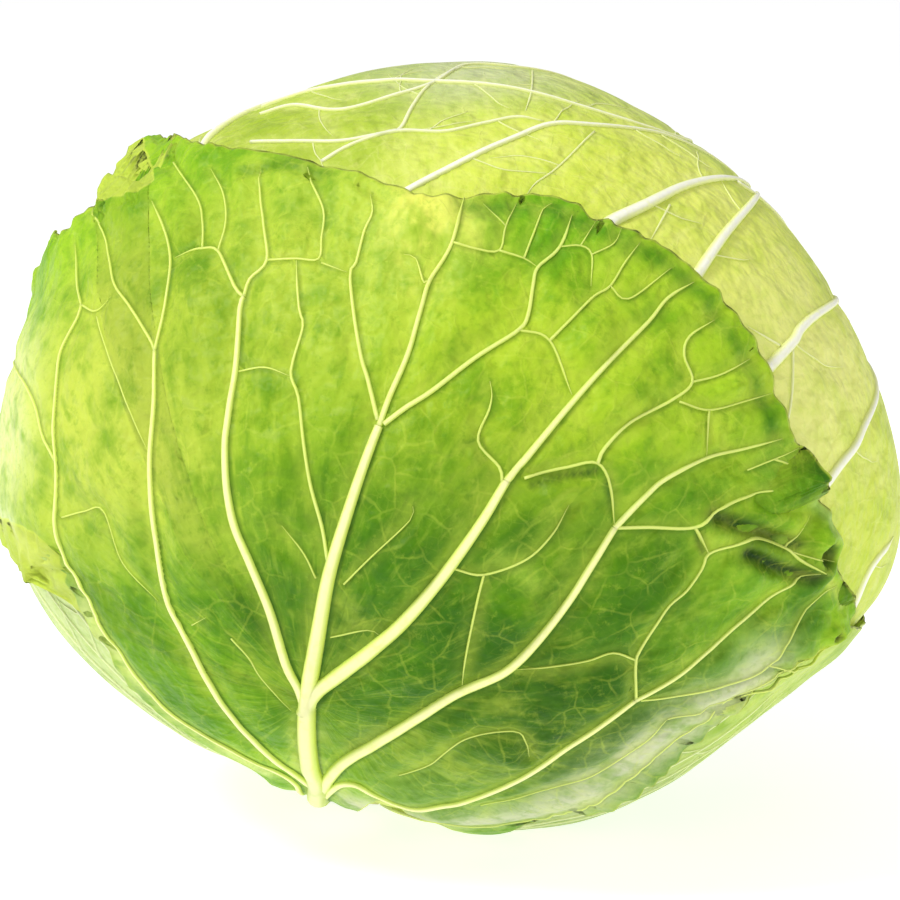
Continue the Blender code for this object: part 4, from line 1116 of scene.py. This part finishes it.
# Leaf finish: mottled tissue in its zone's colour, a painted shadow line beside each rib, strongest
# on its right flank away from the key light, a pale halo beside it, stronger on the lit flank and so partly a
# painted highlight, a net of fine veins in two sizes and a pale edge
def leafFinish(name, look, hub):
    f, t = Finish(name), tissueForm
    signed, half, gap = f.parts(f.field("rib"))
    x, y, depth = f.parts(f.field("place"))
    flat = f.joined(x, y, 0.0)
    body = f.objectPlace()
    stout = half.ease(*t["stoutFrom"])
    # Painted shadow: the rib's right flank counts as shaded, and a dark line lies on both flanks, strongest
    # there
    shaded = (signed * -1).ease(0.0, 0.5)
    flank = (1 - gap.ease(*t["flank"]["reach"])) * (0.25 + 0.75 * shaded) * (0.5 + 0.5 * stout)
    # A pale halo beside each rib, partly the tissue's own colour and partly a painted highlight, as it is
    # stronger on the lit left flank
    halo = (1 - gap.ease(0.0, t["halo"]["reach"])) * (1 - shaded * 0.6)
    # The net's cells are bent by a slow noise and fade in and out by another
    net = t["net"]
    slow = {"Vector": body, "Scale": net["warpScale"], "Detail": 2.0}
    bend = f.node("ShaderNodeTexNoise", None, slow, 1)
    warped = f.vectors("MULTIPLY_ADD", {0: bend, 1: (net["warp"], net["warp"], 0.0), 2: flat})
    coarse = 1 - f.cells(warped, net["coarse"]).ease(*net["coarseLine"])
    fine = 1 - f.cells(warped, net["fine"]).ease(*net["fineLine"])
    patchy = f.noise(body, net["patch"], 2.0).ease(*net["patchFrom"])
    veins = (coarse * net["shares"][0] + fine * net["shares"][1]).atMost(1.0) * patchy
    # Streaks fan out from the hub: noise over the way's cosine and sine, and slowly over the reach
    away = f.vectors("SUBTRACT", {0: flat, 1: (*hub, 0.0)})
    reach = f.vectors("LENGTH", {0: away}, 1)
    wayX, wayY, _ = f.parts(f.vectors("SCALE", {0: away, "Scale": t["streak"]["turn"] / reach}))
    fan = f.joined(wayX, wayY, reach / t["streak"]["size"])
    patterns = dict(
        broad=f.noise(body, t["broad"]["size"], 4.0, 0.6),
        streak=f.noise(fan, 1.0, 3.0, 0.6),
        speck=f.noise(body, t["speck"]["size"], 5.0, 0.7),
    )
    shade, glow, mottle = (paint(*look[key]) for key in ("shade", "glow", "mottle"))
    tint = f.field("tint", "Color")
    dark = f.blend(1.0, tint, mottle, "MULTIPLY")
    light = f.blend(look["paler"], tint, glow)
    tissue, height = tint, veins * net["bump"]
    for key, pattern in patterns.items():
        low, high, share = t[key]["dark"]
        tissue = f.blend(pattern.ease(low, high) * share, tissue, dark)
        low, high, share = t[key]["light"]
        tissue = f.blend((1 - pattern.ease(low, high)) * share, tissue, light)
        height = height + pattern * t[key]["bump"]
    # The pale halo, partly a painted highlight
    tissue = f.blend(halo * t["halo"]["light"], tissue, glow)
    tissue = f.blend(veins * net["light"], tissue, glow)
    # The painted shadow line along the ribs' flanks
    tissue = f.blend(flank * t["flank"]["dark"], tissue, shade)
    low, high, share = t["edge"]
    f.feed("Base Color", f.blend((1 - depth.ease(low, high)) * share, tissue, glow))
    f.feed("Roughness", t["rough"][0] + patterns["speck"] * t["rough"][1])
    f.bump(height + f.noise(body, t["pucker"]["size"], 2.0) * t["pucker"]["bump"], 0.9, 1.0 * mm)
    f.flesh(0.15, (0.8, 1.0, 0.35), 1.8 * mm)
    f.feed("Specular IOR Level", 0.14)
    f.feed("Sheen Weight", 0.015)
    f.feed("Sheen Roughness", 0.45)
    f.feed("Sheen Tint", (0.95, 1.0, 0.85, 1.0))
    return f.material


# A rib's colours: the mm of width where it is slim and stout, how strong the painted shade on the
# right side and the grain are, the shade's tone, and the grain's size in mm
ribTone = dict(stout=(0.5, 2.4), side=0.6, shadedSideTone=0.86, grain=3.0, grainShare=0.35)


# Rib finish: green at the flanks and cream along the crest, whiter the wider the rib is, and
# yellower and darker on its right side: painted shade on the side away from the key light
def ribFinish(name, look):
    f = Finish(name)
    away, width, hand = f.parts(f.field("strip"))
    grain = f.noise(f.objectPlace(), ribTone["grain"], 3.0, 0.6)
    crest = 1 - away.ease(0.25, 0.95)
    stout = width.ease(*ribTone["stout"])
    slim, cream = paint(*look["slim"]), paint(*look["rib"])
    flank = f.blend(0.45 + 0.4 * stout, f.field("tint", "Color"), slim)
    top = f.blend(0.25 + 0.75 * stout, slim, cream)
    colour = f.blend(crest * (0.75 + 0.25 * stout), flank, top)
    # Painted shade: the rib's right half mixes toward a darker yellow-green
    colour = f.blend(hand.ease(0.1, 0.9) * ribTone["side"], colour, slim * ribTone["shadedSideTone"])
    colour = f.blend(grain.ease(0.5, 0.75) * ribTone["grainShare"], colour, slim)
    f.feed("Base Color", colour)
    f.feed("Roughness", 0.36 + grain * 0.14)
    f.bump(grain, 0.5, 0.4 * mm)
    f.flesh(0.2, (1.0, 1.0, 0.4), 1.5 * mm)
    f.feed("Specular IOR Level", 0.3)
    return f.material


# The cut stub, in metres. Foot and rim are shares of the radius and places out from the seat and
# from the face; lobes are how many, how high and how far turned
stem = dict(
    radius=0.0142, face=0.0830, seat=0.0745, columns=160, sink=0.0007, saw=0.00022, seed=71,
    foot=((0.55, 0.0), (0.93, 0.0), (1.0, 0.002)),
    rim=((0.985, -0.0012), (0.955, -0.0003), (0.91, 0.0)), rings=26,
    lobes=((3, 0.03, 0.6), (11, 0.008, 0.0)),
    pith=((226, 222, 170), (206, 204, 140)), wood=(188, 182, 112), skin=(196, 208, 112),
    stain=(168, 142, 84),
)


# The stub's finish: pale pith in the middle, a woody ring, and skin outside
def stemFinish():
    f = Finish("stem_cut")
    x, y, _ = f.parts(f.field("face"))
    radius = f.vectors("LENGTH", {0: f.joined(x, y, 0.0)}, 1)
    body = f.objectPlace()
    grain = f.noise(body, 1.6, 4.0, 0.7)
    ring = radius.ease(0.50, 0.60) * (1 - radius.ease(0.74, 0.82))
    colour = f.blend(grain.ease(0.3, 0.75), *(paint(*rgb) for rgb in stem["pith"]))
    colour = f.blend(ring * 0.55, colour, paint(*stem["wood"]))
    colour = f.blend(radius.ease(0.88, 0.97), colour, paint(*stem["skin"]))
    colour = f.blend(f.noise(body, 5.0).ease(0.56, 0.72) * 0.35, colour, paint(*stem["stain"]))
    f.feed("Base Color", colour)
    f.feed("Roughness", 0.5 + grain * 0.15)
    f.bump(grain * 0.25 + ring * 0.25, 0.8, 1.0 * mm)
    f.flesh(0.15, (1.0, 0.9, 0.5), 2.0 * mm)
    return f.material


# The stub: a profile turned about the stem's axis with a lobed radius, its face sunk by the
# square of the place out from the middle and sawn rough
def makeStem(centre):
    r, face, seat = stem["radius"], stem["face"], stem["seat"]
    wall = [(r * k, seat + out) for k, out in stem["foot"]] + [(r, (seat + face) / 2)]
    wall += [(r * k, face + out) for k, out in stem["rim"]]
    shares = np.linspace(0.88, 0.04, stem["rings"])
    profile = np.array(wall + [(r * k, face - stem["sink"] * (1 - k * k)) for k in shares])
    a = np.linspace(0, 2 * math.pi, stem["columns"], endpoint=False)
    around = np.outer(np.cos(a), front) + np.outer(np.sin(a), side)
    lobes = 1 + sum(high * np.sin(count * a + turn) for count, high, turn in stem["lobes"])
    grid = profile[:, :1, None] * (around * lobes[:, None])[None] - crown * profile[:, 1:2, None]
    flatness = smooth((profile[:, 1] - (face - mm)) / mm)[:, None]
    places = grid / mm
    rough = noise(places, 1.7, stem["seed"]) + 0.5 * noise(places, 0.8, stem["seed"] + 1)
    grid += crown * (stem["saw"] * rough * flatness)[:, :, None]
    poles = np.stack((-crown * seat, -crown * (face - 0.8 * mm)))
    low, high = poles @ toWorld.T + centre
    piece = closedMesh("cut_stem_stub", [(grid @ toWorld.T + centre, low, high)])
    flat = np.vstack((grid.reshape(-1, 3), poles))
    place = np.stack((flat @ front / r, flat @ side / r, flat @ -crown / r), 1)
    addField(piece, "face", "FLOAT_VECTOR", place)
    piece.data.materials.append(stemFinish())
    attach(piece, "root")
    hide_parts("cut_stem")
    print(piece.name, "laid")


# The grain's size in mm and its two colours
innerLook = dict(grain=12.0, colours=((222, 230, 150), (206, 220, 120)))


# The head inside keeps its solid, with a pale folded finish
def dressInner():
    f = Finish("inner_folds")
    grain = f.noise(f.objectPlace(), innerLook["grain"], 4.0)
    pale, yellow = (paint(*rgb) for rgb in innerLook["colours"])
    f.feed("Base Color", f.blend(grain.ease(0.35, 0.7), pale, yellow))
    f.feed("Roughness", 0.42 + grain * 0.1)
    f.bump(grain, 0.5, 1.0 * mm)
    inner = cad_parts["inner_head"]
    inner.data.materials.clear()
    inner.data.materials.append(f.material)
    print(inner.name, "finished")


# Pale paper that glows a little, a soft world and three disk lamps: place from the head's
# centre, width in metres and power in watts
studio = dict(
    floor=(0.62, 0.62, 0.62), floorGlow=0.72, floorSize=14.0, world=(1.0, 1.0, 1.0), worldPower=0.38,
    lamps=dict(key=((-0.80, -0.50, 1.0), 0.4, 13.5), fill=((0.95, -0.75, 0.4), 1.1, 3.6),
               top=((0.1, 0.2, 1.3), 1.4, 2.0)),
    lens=156.5, sensor=36.0, drawing=900.0, clip=(0.05, 50.0),
)


def makeWorld(scene):
    world = bpy.data.worlds.new("studio")
    world.use_nodes = True
    shade = world.node_tree.nodes["Background"]
    shade.inputs["Color"].default_value = (*studio["world"], 1.0)
    shade.inputs["Strength"].default_value = studio["worldPower"]
    scene.world = world


def makeFloor(scene):
    size = studio["floorSize"] / 2
    corners = [(-size, -size, 0), (size, -size, 0), (size, size, 0), (-size, size, 0)]
    mesh = bpy.data.meshes.new("floor")
    mesh.from_pydata(corners, [], [(0, 1, 2, 3)])
    floor = bpy.data.objects.new("floor", mesh)
    scene.collection.objects.link(floor)
    f = Finish("floor_paper")
    f.feed("Base Color", (*studio["floor"], 1.0))
    f.feed("Roughness", 0.85)
    f.feed("Specular IOR Level", 0.1)
    f.feed("Emission Color", (1.0, 1.0, 1.0, 1.0))
    f.feed("Emission Strength", studio["floorGlow"])
    mesh.materials.append(f.material)


# The lamps turn to the head; the camera stands where the drawing's eye does
def makeStudio(centre):
    scene = bpy.context.scene
    scene.view_settings.view_transform = "Standard"
    makeWorld(scene)
    makeFloor(scene)
    for name, (place, width, power) in studio["lamps"].items():
        lamp = bpy.data.lights.new(name, "AREA")
        lamp.shape, lamp.size, lamp.energy = "DISK", width, power
        light = bpy.data.objects.new(name, lamp)
        scene.collection.objects.link(light)
        light.location = centre + np.array(place)
        light.rotation_euler = Vector(-np.array(place)).to_track_quat("-Z", "Y").to_euler()
    camera = bpy.data.objects.new("camera", bpy.data.cameras.new("camera"))
    scene.collection.objects.link(camera)
    camera.location = centre + toWorld @ np.array((0.0, 0.0, head["eye"]))
    camera.rotation_euler = (math.radians(90.0 - head["elevation"]), 0.0, 0.0)
    camera.data.lens, camera.data.sensor_width = studio["lens"], studio["sensor"]
    camera.data.shift_y = (head["drawingCentre"][1] - studio["drawing"] / 2) / studio["drawing"]
    camera.data.clip_start, camera.data.clip_end = studio["clip"]
    scene.camera = camera
    print("studio laid")


# Side veins: leaf, degrees between them, reach in degrees, width in metres and seed
twigs = ((1, 16, 11.0, 0.0005, 302), (0, 13, 9.0, 0.0009, 303), (2, 13, 9.0, 0.0009, 304),
         (3, 13, 9.0, 0.0009, 305))

centre = headCentre()
print("head centre", centre.round(5))
leaves = makeLeaves()
print(len(leaves), "leaves laid out")
for order, every, reach, width, seed in twigs:
    leaves[order].growTwigs(every, reach, width, seed)
for leaf in leaves:
    blade = Blade(leaf, centre)
    makeBlade(blade)
    makeRibs(blade)
makeStem(centre)
dressInner()
makeStudio(centre)
